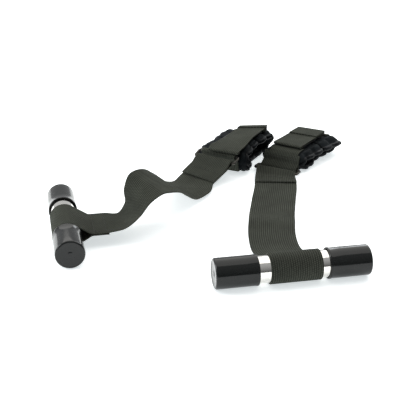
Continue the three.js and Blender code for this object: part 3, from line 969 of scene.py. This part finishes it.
class Pad:
    """A cuff's padded panel as two grids of points, its outer and inner faces."""

    COLUMNS = 29
    SPACING = 2.4
    TUCK = 0.27      # how much narrower the underside is than the top
    UNDER_BAND = 21  # how far to each side the band holds the pad down
    LEAST_RISE = -0.6
    INNER_RISE = 2.2

    def __init__(self, side, sizes):
        self.side = side
        self.sizes = sizes
        self.line = loop_line(side, *PANEL_ENDS, self.SPACING)
        pitch = sizes.scallop_pitch / MM
        self.pitch = self.line[-1][2] / round(self.line[-1][2] / pitch)
        self.rows = len(self.line)
        self.outer = [self.row(entry, 0) for entry in self.line]
        self.inner = [self.row(entry, 1) for entry in self.line]

    def half_width(self, point, reach, way):
        """From the cuff's middle to its edge, which bulges between the channels."""
        reaches = self.side.plan["reach_left" if way > 0 else "reach_right"]
        half = np.interp(point.x, (0, 40, self.side.cuff_length), reaches)
        low = 1 - (point.y - self.side.cuff_base) / self.side.cuff_height
        back = min(1, max(0, (point.x - 12) / 35))
        half *= 1 - self.TUCK * low * back * back * (3 - 2 * back)
        bulge = abs(sin(pi * reach / self.pitch))
        return half + self.sizes.scallop_depth / MM * (bulge ** 0.7 - 1)

    def row(self, entry, face):
        point, inward, reach = entry
        channel = exp(-((((reach / self.pitch + 0.5) % 1) - 0.5) * self.pitch / 1.5) ** 2)
        made = []
        for column in range(self.COLUMNS):
            share = -cos(pi * column / (self.COLUMNS - 1))
            share = 0.35 * share + 0.65 * (2 * column / (self.COLUMNS - 1) - 1)
            half = self.half_width(point, reach, share)
            across = share * half
            edge = half - abs(across)
            dip = 0.5 if abs(across) > self.UNDER_BAND else 0.15
            thin = 1.6 * exp(-edge / 4.5) + dip * channel
            inset = thin if face == 0 else PAD_THICK - thin
            place = point + inward * inset
            high = (place.y - self.side.cuff_base) / self.side.cuff_height
            hang = max(0, (abs(across) - 20) / max(1, half - 20)) ** 2 * high ** 2
            made.append(Vector((place.x, across, place.y - self.side.plan["droop"] * hang)))
        return made

    def shape(self, shrink=0.0):
        """The closed pad, with both faces drawn in by shrink."""
        points = []
        for row, (_, inward, _) in enumerate(self.line):
            draw = Vector((inward.x, 0, inward.y)) * shrink
            points += [point + draw for point in self.outer[row]]
            points += [point - draw for point in reversed(self.inner[row])]
        columns = 2 * self.COLUMNS
        faces = rows_of_faces(self.rows, columns)
        for base in (0, (self.rows - 1) * columns):
            for column in range(self.COLUMNS - 1):
                under = columns - 1 - column
                faces.append((base + column, base + column + 1, base + under - 1, base + under))
        return Shape().add(points, faces)

    def held(self):
        """How firmly each point of the closed pad is sewn down, 0 to 1."""
        made = []
        for row, (_, _, reach) in enumerate(self.line):
            away = abs(((reach / self.pitch + 0.5) % 1) - 0.5) * self.pitch
            for column in [*range(self.COLUMNS), *reversed(range(self.COLUMNS))]:
                edge = min(column, self.COLUMNS - 1 - column)
                ends = min(row, self.rows - 1 - row)
                sewn = 1.0 if edge < 3 or ends < 1 or away < self.SPACING * 0.55 else 0.0
                made.append(sewn)
        return made

    def take(self, points):
        """Takes the swollen places of the closed pad's points, no further than the pieces round it allow."""
        columns = 2 * self.COLUMNS
        for row, (_, inward, _) in enumerate(self.line):
            out = Vector((-inward.x, 0, -inward.y))
            for column in range(self.COLUMNS):
                across = abs(self.outer[row][column].y)
                open_side = across - self.UNDER_BAND
                room = 0.1 if open_side < 0 else min(3.2, 0.1 + open_side * 0.8)
                for face, low, top, at in (
                    (self.outer, self.LEAST_RISE, room, row * columns + column),
                    (self.inner, -self.INNER_RISE, self.INNER_RISE, row * columns + columns - 1 - column),
                ):
                    before = face[row][column]
                    move = points[at] - before
                    rise = move.dot(out)
                    slide = move - out * rise
                    slide = slide.normalized() * min(slide.length, 0.8) if slide.length else slide
                    after = before + out * max(low, min(top, rise)) + slide
                    after.z = max(after.z, PAD_CLEAR)
                    face[row][column] = after

    def crease(self, seed):
        """Puckers along the bound edges and fine wrinkles over the open cloth."""
        for face in (self.outer, self.inner):
            for row, (_, inward, reach) in enumerate(self.line):
                out = Vector((-inward.x, 0, -inward.y))
                for column, point in enumerate(face[row]):
                    if face is self.outer and abs(point.y) < self.UNDER_BAND + 1:
                        continue
                    place = Vector((point.x, point.z))
                    edge = self.half_width(place, reach, point.y) - abs(point.y)
                    pucker = 0.2 * sin(2 * pi * reach / 5.3 + seed) * exp(-((edge - 4) / 4) ** 2)
                    wrinkle = 0.7 * noise.noise(Vector((point.x / 9, point.y / 6, point.z / 9 + seed)))
                    face[row][column] = point + out * (pucker + wrinkle)

    def sheet(self, face, thick):
        """One face of the pad as a cloth of a given thickness, drawn in from the face."""
        rows = self.outer if face == 0 else self.inner
        sign = 1 if face == 0 else -1
        points, flat = [], []
        for lift in (0, thick):
            for row, (_, inward, reach) in enumerate(self.line):
                draw = Vector((inward.x, 0, inward.y)) * lift * sign
                points += [point + draw for point in rows[row]]
                flat += [(point.y, reach) for point in rows[row]]
        count = self.rows * self.COLUMNS
        faces = rows_of_faces(self.rows, self.COLUMNS, closed_columns=False)
        faces += [tuple(count + index for index in reversed(quad)) for quad in faces]
        rim = [*range(self.COLUMNS)]
        rim += [row * self.COLUMNS + self.COLUMNS - 1 for row in range(1, self.rows)]
        rim += [(self.rows - 1) * self.COLUMNS + column for column in reversed(range(self.COLUMNS - 1))]
        rim += [row * self.COLUMNS for row in reversed(range(1, self.rows - 1))]
        faces += [(a, b, count + b, count + a) for a, b in zip(rim, rim[1:] + rim[:1])]
        return Shape().add(points, faces, flat)


SWELL_SCALE = 0.1      # the pads swell at a hundred times their size, where the solver is steady


def swollen(pad, sizes):
    """The closed pad's points after the cloth has swelled between its seams."""
    shape = pad.shape()
    mesh = bpy.data.meshes.new("swelling")
    mesh.from_pydata([point * SWELL_SCALE for point in shape.points], [], shape.faces)
    tidy_normals(mesh)
    cloth_object = bpy.data.objects.new("swelling", mesh)
    bpy.context.scene.collection.objects.link(cloth_object)
    group = cloth_object.vertex_groups.new(name="sewn")
    for index, weight in enumerate(pad.held()):
        group.add([index], weight, "REPLACE")
    cloth = cloth_object.modifiers.new("Swell", "CLOTH")
    settings = cloth.settings
    settings.quality = 6
    settings.mass = 0.3
    settings.tension_stiffness = 8
    settings.compression_stiffness = 8
    settings.shear_stiffness = 4
    settings.bending_stiffness = 0.3
    settings.shrink_min = -0.06
    settings.use_pressure = True
    settings.uniform_pressure_force = sizes.swell
    settings.vertex_group_mass = "sewn"
    settings.effector_weights.gravity = 0
    cloth.collision_settings.use_collision = False
    cloth.point_cache.frame_start = 1
    cloth.point_cache.frame_end = sizes.swell_frames
    scene = bpy.context.scene
    for number in range(1, sizes.swell_frames + 1):
        scene.frame_set(number)
    shown = cloth_object.evaluated_get(bpy.context.evaluated_depsgraph_get())
    points = [vertex.co / SWELL_SCALE for vertex in shown.data.vertices]
    cloth_object.modifiers.remove(cloth)
    bpy.data.objects.remove(cloth_object)
    scene.frame_set(1)
    return points


def subdivided(piece):
    """Rounds a piece off with one subdivision, and keeps the result as its mesh."""
    modifier = piece.modifiers.new("Round", "SUBSURF")
    modifier.levels = 1
    modifier.render_levels = 1
    shown = piece.evaluated_get(bpy.context.evaluated_depsgraph_get())
    mesh = bpy.data.meshes.new_from_object(shown)
    piece.modifiers.clear()
    piece.data = mesh
    mesh.name = piece.name
    mesh.shade_smooth()
    return piece


def place_in_cuff(shape, side):
    """Moves a shape from the cuff's own frame to where the cuff lies."""
    shape.points = [side.in_cuff(point) for point in shape.points]
    return shape


BINDING_OUTLINE = ((-4.6, 2.75), (-3.4, 2.9), (-2.0, 2.75), (-0.6, 2.5), (0.5, 2.1), (1.2, 1.4), (1.6, 0.7))


def binding_shape(pad, way, seed):
    """Satin tape folded round one edge of the pad, gathered a little as it is sewn."""
    half = [*BINDING_OUTLINE, (1.7, 0)]
    half += [(out, -lift) for out, lift in reversed(BINDING_OUTLINE)]
    thin = 0.5
    inner = [(out - thin if out > 0 else out, lift * 0.8) for out, lift in reversed(half)]
    section = half + inner
    points, flat = [], []
    last = pad.line[-1][2]
    steps = int(last / 0.9)
    reaches = [entry[2] for entry in pad.line]
    column = -1 if way > 0 else 0
    edges = [(outer[column] + inner[column]) / 2 for outer, inner in zip(pad.outer, pad.inner)]
    middles = np.array([tuple(point) for point in edges])
    inwards = np.array([tuple(entry[1]) for entry in pad.line])
    for step in range(steps + 1):
        reach = last * step / steps
        middle = Vector(sampled(reach, reaches, middles))
        inward = Vector(sampled(reach, reaches, inwards)).normalized()
        out = Vector((-inward.x, 0, -inward.y))
        gather = 0.16 * sin(2 * pi * reach / 2.7 + seed) + 0.3 * noise.noise(Vector((reach / 4, way, seed)))
        for ahead, lift in section:
            swell = 1 + 0.07 * noise.noise(Vector((reach / 3, lift, seed + way)))
            place = middle + Vector((0, way * (ahead + gather), 0)) + out * lift * swell
            place.z = max(place.z, BINDING_CLEAR)
            points.append(place)
            flat.append((ahead + lift, reach))
    faces = rows_of_faces(steps + 1, len(section))
    faces.append(tuple(range(len(section))))
    faces.append(tuple(range(len(points) - len(section), len(points))))
    return Shape().add(points, faces, flat)


def loop_ribbon(side, ends, lift, width, spacing=1.2):
    """A strip of webbing round the cuff, so far off its outer face, in the cuff's own frame."""
    stations = []
    for point, inward, _ in loop_line(side, *ends, spacing):
        place = point - inward * lift
        stations.append((Vector((place.x, 0, place.y)), LEFTWARD))
    return Ribbon(stations, width)


def tab_ribbon(side):
    """The doubled tab sewn to the cuff's near end and turned round the ring's cuff-side wire."""
    plan = side.plan
    ring = RingPlace(side)
    wire_side = side.to_cuff.to_3x3() @ ring.side

    def at(angle, lift):
        return side.on_nose(plan["tab_angle"] + plan["tab_way"] * angle, lift)

    sweep = np.interp(np.linspace(0, 4, 33), range(5), TAB_SWEEP)
    inner = [(at(angle, TAB_LIFT), LEFTWARD) for angle in sweep]
    outer = [(at(angle, TAB_LIFT + LAYER_STEP), LEFTWARD) for angle in sweep[::-1]]
    wire = at(0, RING_LIFT)
    outward = (at(0, RING_LIFT + 1) - wire).normalized()
    away = (at(-1, RING_LIFT) - wire).normalized()
    steps = 30
    turn = []
    for step in range(steps + 1):
        angle = radians(-70 + 215 * step / steps)
        turn.append((wire + (away * cos(angle) + outward * sin(angle)) * FOLD_RADIUS, wire_side))
    stations = [(side.cuff @ place, side.cuff.to_3x3() @ way) for place, way in inner + turn + outer]
    return Ribbon(smooth_stations(stations, 0.9), TAB_WIDTH)


def flap_sag(side, ahead):
    """How far the flap has sunk below its hinge, at a distance along the cuff."""
    near, _ = reach_of(f"{side.name}_flap", side.cuff.translation, side.along)
    curl = side.cuff_height * 0.5
    return side.plan["flap_dip"] * (max(0, curl - ahead) / max(1, curl - near)) ** 2


def flap_ribbons(side):
    """The flap, which runs on past its hinge over the anchor, and the doubled piece on its root,
    both in the cuff's own frame."""
    near, _ = reach_of(f"{side.name}_flap", side.cuff.translation, side.along)
    width = side.node_size(f"{side.name}_flap", side.across)
    _, end = reach_of(f"{side.name}_flap_anchor", side.cuff.translation, side.along)
    hinge = side.hinge - side.cuff.translation
    middle = hinge.dot(side.across)
    top = side.hinge.z

    def station(ahead, lift):
        return Vector((ahead, middle, top + lift - flap_sag(side, ahead))), LEFTWARD

    level = -WEBBING_THICK / 2
    run = np.linspace(end, near + HEM_NEAR, int((end - near) / 1.2))
    lower = [station(ahead, level) for ahead in run]
    turn = []
    for step in range(1, 12):
        angle = pi * step / 12
        turn.append(station(near + HEM_NEAR - HEM_RADIUS * sin(angle), level - HEM_RADIUS * (1 - cos(angle))))
    hem = np.linspace(near + HEM_NEAR, near + HEM_FAR, 8)
    back = [station(ahead, level - 2 * HEM_RADIUS) for ahead in hem]
    flap = Ribbon(smooth_stations(lower + turn + back, 0.8), width)
    root_start, root_end = end + 1.0, hinge.dot(side.along) - side.plan["root_ahead"]
    root = [station(ahead, level + LAYER_STEP - 0.15) for ahead in np.linspace(root_start, root_end, 40)]
    return flap, Ribbon(root, width - 1)


# ---------------------------------------------------------------- operators


def both_sides():
    return [Side(name) for name in STRAPS]


class STRAPS_OT_studio(bpy.types.Operator):
    """Makes the floor, the lights and the camera"""
    bl_idname = "straps.studio"
    bl_label = "Studio"

    def execute(self, context):
        scene = context.scene
        studio = scene.strap_studio
        corners = [(x * FLOOR_HALF, y * FLOOR_HALF, 0) for x, y in ((-1, -1), (1, -1), (1, 1), (-1, 1))]
        floor = Shape().add(corners, [(0, 1, 2, 3)]).piece("studio_floor", finish_named("studio_floor"))
        floor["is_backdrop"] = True

        camera = bpy.data.objects.new("camera", bpy.data.cameras.new("camera"))
        camera.location = studio.camera_place
        camera.rotation_euler = (pi / 2 - studio.camera_dip, 0, 0)
        camera.data.sensor_width = 36
        camera.data.lens = studio.focal_length
        camera.data.clip_start = 0.01
        camera.data.dof.use_dof = False
        scene.collection.objects.link(camera)
        scene.camera = camera

        soft_light("overhead", (0.0, 0.55, 1.25), (0, 0.05, 0), (3.0, 2.2), studio.key_power, (1, 0.98, 0.94))
        soft_light("left_side", (-1.15, -0.1, 0.5), (0, 0, 0), (0.5, 0.7), 1.8 * studio.side_power,
                   (0.95, 0.99, 1))
        soft_light("back_right", (0.75, 1.3, 0.65), (0, 0, 0), (0.9, 0.5), studio.side_power, (0.94, 0.98, 1))
        studio_world(scene)
        scene.view_settings.view_transform = "Standard"
        return {"FINISHED"}


def soft_light(name, place, target, size, power, tint):
    lamp = bpy.data.lights.new(name, "AREA")
    lamp.shape = "RECTANGLE"
    lamp.size, lamp.size_y = size
    lamp.energy = power
    lamp.color = tint
    light = bpy.data.objects.new(name, lamp)
    light.location = place
    light.rotation_euler = (Vector(target) - Vector(place)).to_track_quat("-Z", "Y").to_euler()
    light.visible_camera = False
    bpy.context.scene.collection.objects.link(light)


def studio_world(scene):
    """A room that is white behind and dark in front; what is seen past the floor is plain white."""
    world = bpy.data.worlds.new("studio")
    world.use_nodes = True
    tree = world.node_tree
    tree.nodes.clear()

    def node(kind, **inputs):
        return add_node(tree, kind, **inputs)

    way = node("TexCoord").outputs["Generated"]
    parts = node("SeparateXYZ", i0=way)
    behind = node("MapRange", i0=parts.outputs[1], i1=-0.35, i2=0.75, i3=0.0, i4=1.0)
    over = node("MapRange", i0=parts.outputs[2], i1=0.0, i2=0.9, i3=0.0, i4=1.0)
    level = node("Mix", i0=behind.outputs[0], i2=0.08, i3=0.62)
    level = node("Mix", i0=over.outputs[0], i2=level.outputs[0], i3=0.42)
    room = node("Background", i0=(0.97, 0.985, 1, 1), i1=level.outputs[0])
    plain = node("Background", i0=(1, 1, 1, 1), i1=0.97)
    seen = node("LightPath").outputs["Is Camera Ray"]
    both = node("MixShader", i0=seen, i1=room.outputs[0], i2=plain.outputs[0])
    node("OutputWorld", Surface=both.outputs[0])
    scene.world = world


class STRAPS_OT_bars(bpy.types.Operator):
    """Makes the plated tubes of the two T-bar handles"""
    bl_idname = "straps.bars"
    bl_label = "Bars"

    def execute(self, context):
        for side in both_sides():
            half, outside = side.tube_half, side.tube_radius
            inside = outside - TUBE_WALL
            wide, narrow, end = outside - TUBE_EDGE, inside + TUBE_EDGE, half - TUBE_EDGE
            profile = rounded((wide, end), TUBE_EDGE, 0, 90, 4)
            profile += rounded((narrow, end), TUBE_EDGE, 90, 180, 4)
            profile += [(inside, half * part) for part in (0.5, 0, -0.5)]
            profile += rounded((narrow, -end), TUBE_EDGE, 180, 270, 4)
            profile += rounded((wide, -end), TUBE_EDGE, 270, 360, 4)
            profile += [(outside, half * part) for part in (-0.5, 0, 0.5)]
            tube = turned_shape(profile, side.bar_centre, side.bar_side)
            settle(tube, f"{side.name}_chrome_tube", f"{side.name}_bar", "chrome", f"{side.name}_bar_tube")
        return {"FINISHED"}


class STRAPS_OT_caps(bpy.types.Operator):
    """Makes the dipped vinyl end caps, with a rolled lip and a shallow moulded end"""
    bl_idname = "straps.caps"
    bl_label = "End caps"

    def execute(self, context):
        for side in both_sides():
            for letter, way in (("a", 1), ("b", -1)):
                node = f"{side.name}_bar_cap_{letter}"
                axis = side.bar_side * way
                mouth, end = reach_of(node, side.bar_centre, axis)
                lip = side.node_size(node, UP) / 2
                wall = lip - 0.3
                bore = side.tube_radius + 0.15
                floor = end - 2.4
                profile = [(0.01, floor), (bore * 0.5, floor), (bore - 0.5, floor), (bore, floor - 0.5)]
                profile += [(bore, floor - (floor - mouth) * part) for part in (0.3, 0.6, 0.95)]
                profile += rounded((lip - 0.75, mouth + 0.75), 0.75, 250, 360, 8)
                profile += [(lip, mouth + 1.6), (lip - 0.1, mouth + 2.3), (wall, mouth + 3.0)]
                profile += [(wall + 0.02 * sin(part * pi), mouth + 3 + (end - mouth - 5) * part)
                            for part in (0.25, 0.5, 0.75)]
                profile += rounded((wall - 2.0, end - 2.0), 2.0, 0, 78, 10)
                profile += [(wall - 3.2, end - 0.06), (wall - 4.0, end - 0.3), (wall - 4.8, end - 0.42)]
                profile += [(3.6, end - 0.5), (3.0, end - 0.45), (2.6, end - 0.2), (1.2, end - 0.12)]
                profile += [(0.01, end - 0.1)]
                cap = turned_shape(profile, side.bar_centre, axis)
                settle(cap, f"{side.name}_end_cap_{letter}", f"{side.name}_bar", "cap_vinyl", node, sharp=55)
        return {"FINISHED"}


class STRAPS_OT_webbing(bpy.types.Operator):
    """Makes the two webbing straps and the box stitching at both of their ends"""
    bl_idname = "straps.webbing"
    bl_label = "Webbing straps"

    def execute(self, context):
        sizes = context.scene.strap_sizes
        for side in both_sides():
            ribbon = strap_ribbon(side)
            strap = ribbon.shape()
            strap.points = [Vector((x, y, max(z, STRAP_CLEAR))) for x, y, z in strap.points]
            settle(strap, f"{side.name}_strap", "straps", "webbing", f"{side.name}_strap_webbing", sharp=60)
            face = WEBBING_THICK / 2
            for end, node, near, far, lift in (
                ("bar", "loop_stitching", ribbon.merge + SEAM_NEAR, ribbon.merge + SEAM_FAR, face),
                ("ring", "fold_stitching", ribbon.length - SEAM_FAR, ribbon.length - SEAM_NEAR, -face),
            ):
                rows = Shape()
                box_stitch(rows, ribbon, near, far, SEAM_HALF_WIDTH, lift, sizes)
                settle(rows, f"{side.name}_{end}_seam", "straps", "thread", f"{side.name}_{node}")
        return {"FINISHED"}


class STRAPS_OT_rings(bpy.types.Operator):
    """Makes the plated wire rings that join the straps to the cuffs"""
    bl_idname = "straps.rings"
    bl_label = "Rings"

    def execute(self, context):
        corner = 2.4
        for side in both_sides():
            ring = RingPlace(side)
            centre = ring.wire + ring.along * RING_PITCH / 2
            wide, short = RING_LONG / 2, RING_PITCH / 2
            outline = []
            for quarter, (x, y) in enumerate(((1, 1), (-1, 1), (-1, -1), (1, -1))):
                middle = (x * (wide - corner), y * (short - corner))
                outline += rounded(middle, corner, quarter * 90, quarter * 90 + 90, 8)
                if quarter % 2 == 0:
                    outline += [(x * (wide - corner) * part, y * short) for part in (0.6, 0.2, -0.2, -0.6)]
            points = [centre + ring.side * x + ring.along * y for x, y in outline]
            weld = [0.18 * exp(-((x - wide * 0.6) / 1.4) ** 2) if y > 0 else 0 for x, y in outline]
            radii = [RING_WIRE / 2 + swell for swell in weld]
            wire = tube_shape(Shape(), points, radii, sides=20, closed=True)
            settle(wire, f"{side.name}_wire_ring", "straps", "ring_steel", f"{side.name}_ring", sharp=80)
        return {"FINISHED"}


class STRAPS_OT_tabs(bpy.types.Operator):
    """Makes the sewn tabs that hold the rings to the cuffs"""
    bl_idname = "straps.tabs"
    bl_label = "Ring tabs"

    def execute(self, context):
        sizes = context.scene.strap_sizes
        for side in both_sides():
            ribbon = tab_ribbon(side)
            settle(ribbon.shape(), f"{side.name}_tab", "straps", "webbing", f"{side.name}_ring_tab", sharp=60)
            rows = Shape()
            for back in (3, 6):
                stitch_line(rows, ribbon, (ribbon.length - back, -20), (ribbon.length - back, 20),
                            WEBBING_THICK / 2, sizes)
            settle(rows, f"{side.name}_tab_seam", "straps", "thread")
        return {"FINISHED"}


class STRAPS_OT_cuffs(bpy.types.Operator):
    """Makes the padded cuffs: the foam swells between its seams, and the cover and lining follow it"""
    bl_idname = "straps.cuffs"
    bl_label = "Padded cuffs"

    def execute(self, context):
        sizes = context.scene.strap_sizes
        for side in both_sides():
            pad = Pad(side, sizes)
            pad.take(swollen(pad, sizes))
            pad.crease(side.seed)
            self.make_layers(side, pad)
            for letter, way in (("l", 1), ("r", -1)):
                shape = place_in_cuff(binding_shape(pad, way, side.seed), side)
                settle(shape, f"{side.name}_binding_{letter}", "straps", "binding_tape",
                       f"{side.name}_cuff_binding_{letter}", sharp=60)
        return {"FINISHED"}

    def make_layers(self, side, pad):
        name = side.name
        foam = settle(place_in_cuff(pad.shape(shrink=1.2), side), f"{name}_padding", "straps", "foam",
                      f"{name}_cuff_foam", finished=subdivided)

        across = sum(part for reach in ("reach_left", "reach_right") for part in side.plan[reach]) / 3
        cover = settle(place_in_cuff(pad.sheet(0, 0.8), side), f"{name}_cover", "straps", "cover_fabric",
                       f"{name}_cuff_cover", finished=subdivided)

        lining = settle(place_in_cuff(pad.sheet(1, 0.8), side), f"{name}_lining", "straps", "lining_fabric",
                        f"{name}_cuff_lining", finished=subdivided)


class STRAPS_OT_bands(bpy.types.Operator):
    """Makes the webbing bands sewn round the cuffs, with a row of stitches along both edges"""
    bl_idname = "straps.bands"
    bl_label = "Cuff bands"

    def execute(self, context):
        sizes = context.scene.strap_sizes
        for side in both_sides():
            width = side.node_size(f"{side.name}_cuff_band", side.across)
            ribbon = loop_ribbon(side, BAND_ENDS, GAP + WEBBING_THICK / 2, width)
            settle(place_in_cuff(ribbon.shape(), side), f"{side.name}_band", "straps", "webbing",
                   f"{side.name}_cuff_band", sharp=60)
            rows = Shape()
            for across in (-width / 2 + 2.2, width / 2 - 2.2):
                for start, end in ((3, ribbon.length * 0.42), (ribbon.length * 0.62, ribbon.length - 3)):
                    stitch_line(rows, ribbon, (start, across), (end, across), WEBBING_THICK / 2, sizes)
            settle(place_in_cuff(rows, side), f"{side.name}_band_seam", "straps", "thread")
        return {"FINISHED"}


class STRAPS_OT_flaps(bpy.types.Operator):
    """Makes the hook-and-loop flaps with their anchors, pile and hook patches"""
    bl_idname = "straps.flaps"
    bl_label = "Flaps"

    def execute(self, context):
        sizes = context.scene.strap_sizes
        for side in both_sides():
            name, closure = side.name, f"{side.name}_closure"
            flap, root = flap_ribbons(side)
            bend = [(side.hinge + side.along * away) * MM for away in (2.5, -2.5)]
            seam = Shape()
            if root.length > 15:
                box_stitch(seam, root, 13, root.length - 2, root.width / 2 - 2.5, WEBBING_THICK / 2, sizes)
            stitch_line(seam, root, (2, -16), (2, 16), WEBBING_THICK / 2, sizes)
            pieces = []
            for shape, part, slot in (
                (flap.shape(), "flap_strip", "webbing"),
                (root.shape(), "flap_root", "webbing"),
                (seam, "flap_seam", "thread"),
            ):
                piece = place_in_cuff(shape, side).piece(f"{name}_{part}", finish_named(slot), sharp=60)
                pieces.append((piece, slot))
            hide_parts(f"{name}_flap")
            for piece, slot in pieces:
                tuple(bend[0])
                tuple(bend[1])
                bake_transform(piece)
            self.make_anchor(side)
            self.make_patches(side)
        return {"FINISHED"}

    def make_anchor(self, side):
        """Webbing folded twice into the thick root that the flap is sewn to."""
        node = f"{side.name}_flap_anchor"
        low, high = reach_of(node, side.cuff.translation, side.along)
        width = side.node_size(node, side.across)
        middle = sum(reach_of(node, side.cuff.translation, side.across)) / 2
        bottom, _ = reach_of(node, side.cuff.translation, UP)
        pitch = (side.hinge.z - WEBBING_THICK - 0.15 - bottom) / 3
        thick = pitch - 0.04
        stations = []
        for layer in range(3):
            run = np.linspace(low + 0.6, high - 0.6, 14)
            for ahead in run if layer % 2 == 0 else run[::-1]:
                stations.append((Vector((ahead, middle, bottom + (layer + 0.5) * pitch)), LEFTWARD))
        anchor = place_in_cuff(Ribbon(smooth_stations(stations, 0.5), width, thick).shape(), side)
        settle(anchor, f"{side.name}_anchor", "straps", "webbing", node, sharp=60)

    def make_patches(self, side):
        for node, name, slot, body, up in (
            ("cuff_pile", "pile_patch", "pile_tape", "straps", 1),
            ("flap_hook", "hook_patch", "hook_tape", f"{side.name}_closure", -1),
        ):
            shape = patch_shape(side, f"{side.name}_{node}", up)
            settle(shape, f"{side.name}_{name}", body, slot, f"{side.name}_{node}", sharp=50)


def patch_shape(side, node, up):
    """A tape patch with rounded corners, whose working face has rows of tufts or hooks."""
    origin = side.cuff.translation
    ahead = reach_of(node, origin, side.along)
    if up < 0:
        ahead = (ahead[0], ahead[1] - HOOK_SHORTER)
    across = reach_of(node, origin, side.across)
    level = reach_of(node, origin, UP)
    corner = 2.5
    middle = (sum(ahead) / 2, sum(across) / 2)
    half = ((ahead[1] - ahead[0]) / 2, (across[1] - across[0]) / 2)
    outline = []
    for quarter, (x, y) in enumerate(((1, 1), (-1, 1), (-1, -1), (1, -1))):
        centre = (middle[0] + x * (half[0] - corner), middle[1] + y * (half[1] - corner))
        outline += rounded(centre, corner, quarter * 90, quarter * 90 + 90, 6)
    tall = 0.55
    back, face = (level[0], level[1] - tall) if up > 0 else (level[1] - 0.15, level[0] + tall)
    shape = Shape()
    rims = []
    for inset, height in ((0.25, back), (0, back + 0.2 * up), (0, face - 0.15 * up), (0.3, face)):
        for x, y in outline:
            pull = Vector((middle[0] - x, middle[1] - y)).normalized() * inset
            rims.append((x + pull.x, y + pull.y, height))
    count = len(outline)
    faces = rows_of_faces(4, count)
    faces += [tuple(range(count)), tuple(range(3 * count, 4 * count))]
    shape.add(rims, faces, [(x, y) for x, y, _ in rims])
    pitch = 1.5
    for row in range(int((2 * half[0] - 4) / pitch)):
        for column in range(int((2 * half[1] - 4) / pitch)):
            x = ahead[0] + 2.4 + row * pitch
            y = across[0] + 2.4 + (column + 0.5 * (row % 2)) * pitch
            lean = Vector((noise.noise(Vector((x, y, 1))), noise.noise(Vector((x, y, 7))), 0)) * 0.9
            base = Vector((x, y, face - 0.1 * up))
            points = [base, base + Vector((0, 0, tall * 0.6 * up)) + lean * 0.3,
                      base + Vector((0.3, 0, tall * 0.95 * up)) + lean * 0.7,
                      base + Vector((0.65, 0, tall * 0.7 * up)) + lean]
            tube_shape(shape, points, (0.2, 0.16, 0.15, 0.1), sides=4)
    if up < 0:
        shape.points = [Vector(point) - UP * flap_sag(side, point[0]) for point in shape.points]
    return place_in_cuff(shape, side)


class STRAPS_PT_panel(bpy.types.Panel):
    """Lists the straps' pieces, sizes, colours and studio"""
    bl_idname = "STRAPS_PT_panel"
    bl_label = "Exercise straps"
    bl_space_type = "VIEW_3D"
    bl_region_type = "UI"
    bl_category = "Straps"

    def draw(self, context):
        layout = self.layout
        for operator in OPERATORS:
            layout.operator(operator.bl_idname)
        for title, group in (
            ("Sizes", context.scene.strap_sizes),
            ("Colours", context.scene.strap_colours),
            ("Studio", context.scene.strap_studio),
        ):
            box = layout.box()
            box.label(text=title)
            for name in group.__annotations__:
                box.prop(group, name)


GROUPS = {"strap_sizes": StrapSizes, "strap_colours": StrapColours, "strap_studio": StudioSettings}
OPERATORS = (
    STRAPS_OT_studio,
    STRAPS_OT_bars,
    STRAPS_OT_caps,
    STRAPS_OT_webbing,
    STRAPS_OT_rings,
    STRAPS_OT_tabs,
    STRAPS_OT_cuffs,
    STRAPS_OT_bands,
    STRAPS_OT_flaps,
)
CLASSES = (*GROUPS.values(), *OPERATORS, STRAPS_PT_panel)


def register():
    for item in CLASSES:
        bpy.utils.register_class(item)
    for name, group in GROUPS.items():
        setattr(bpy.types.Scene, name, PointerProperty(type=group))


def unregister():
    for name in GROUPS:
        delattr(bpy.types.Scene, name)
    for item in reversed(CLASSES):
        bpy.utils.unregister_class(item)


def main():
    register()
    for operator in OPERATORS:
        group, call = operator.bl_idname.split(".")
        getattr(getattr(bpy.ops, group), call)()
    boxes = {"cad": CAD_BOX, "visual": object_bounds()}
    {name: [list(corner) for corner in box] for name, box in boxes.items()}


if __name__ == "__main__":
    main()
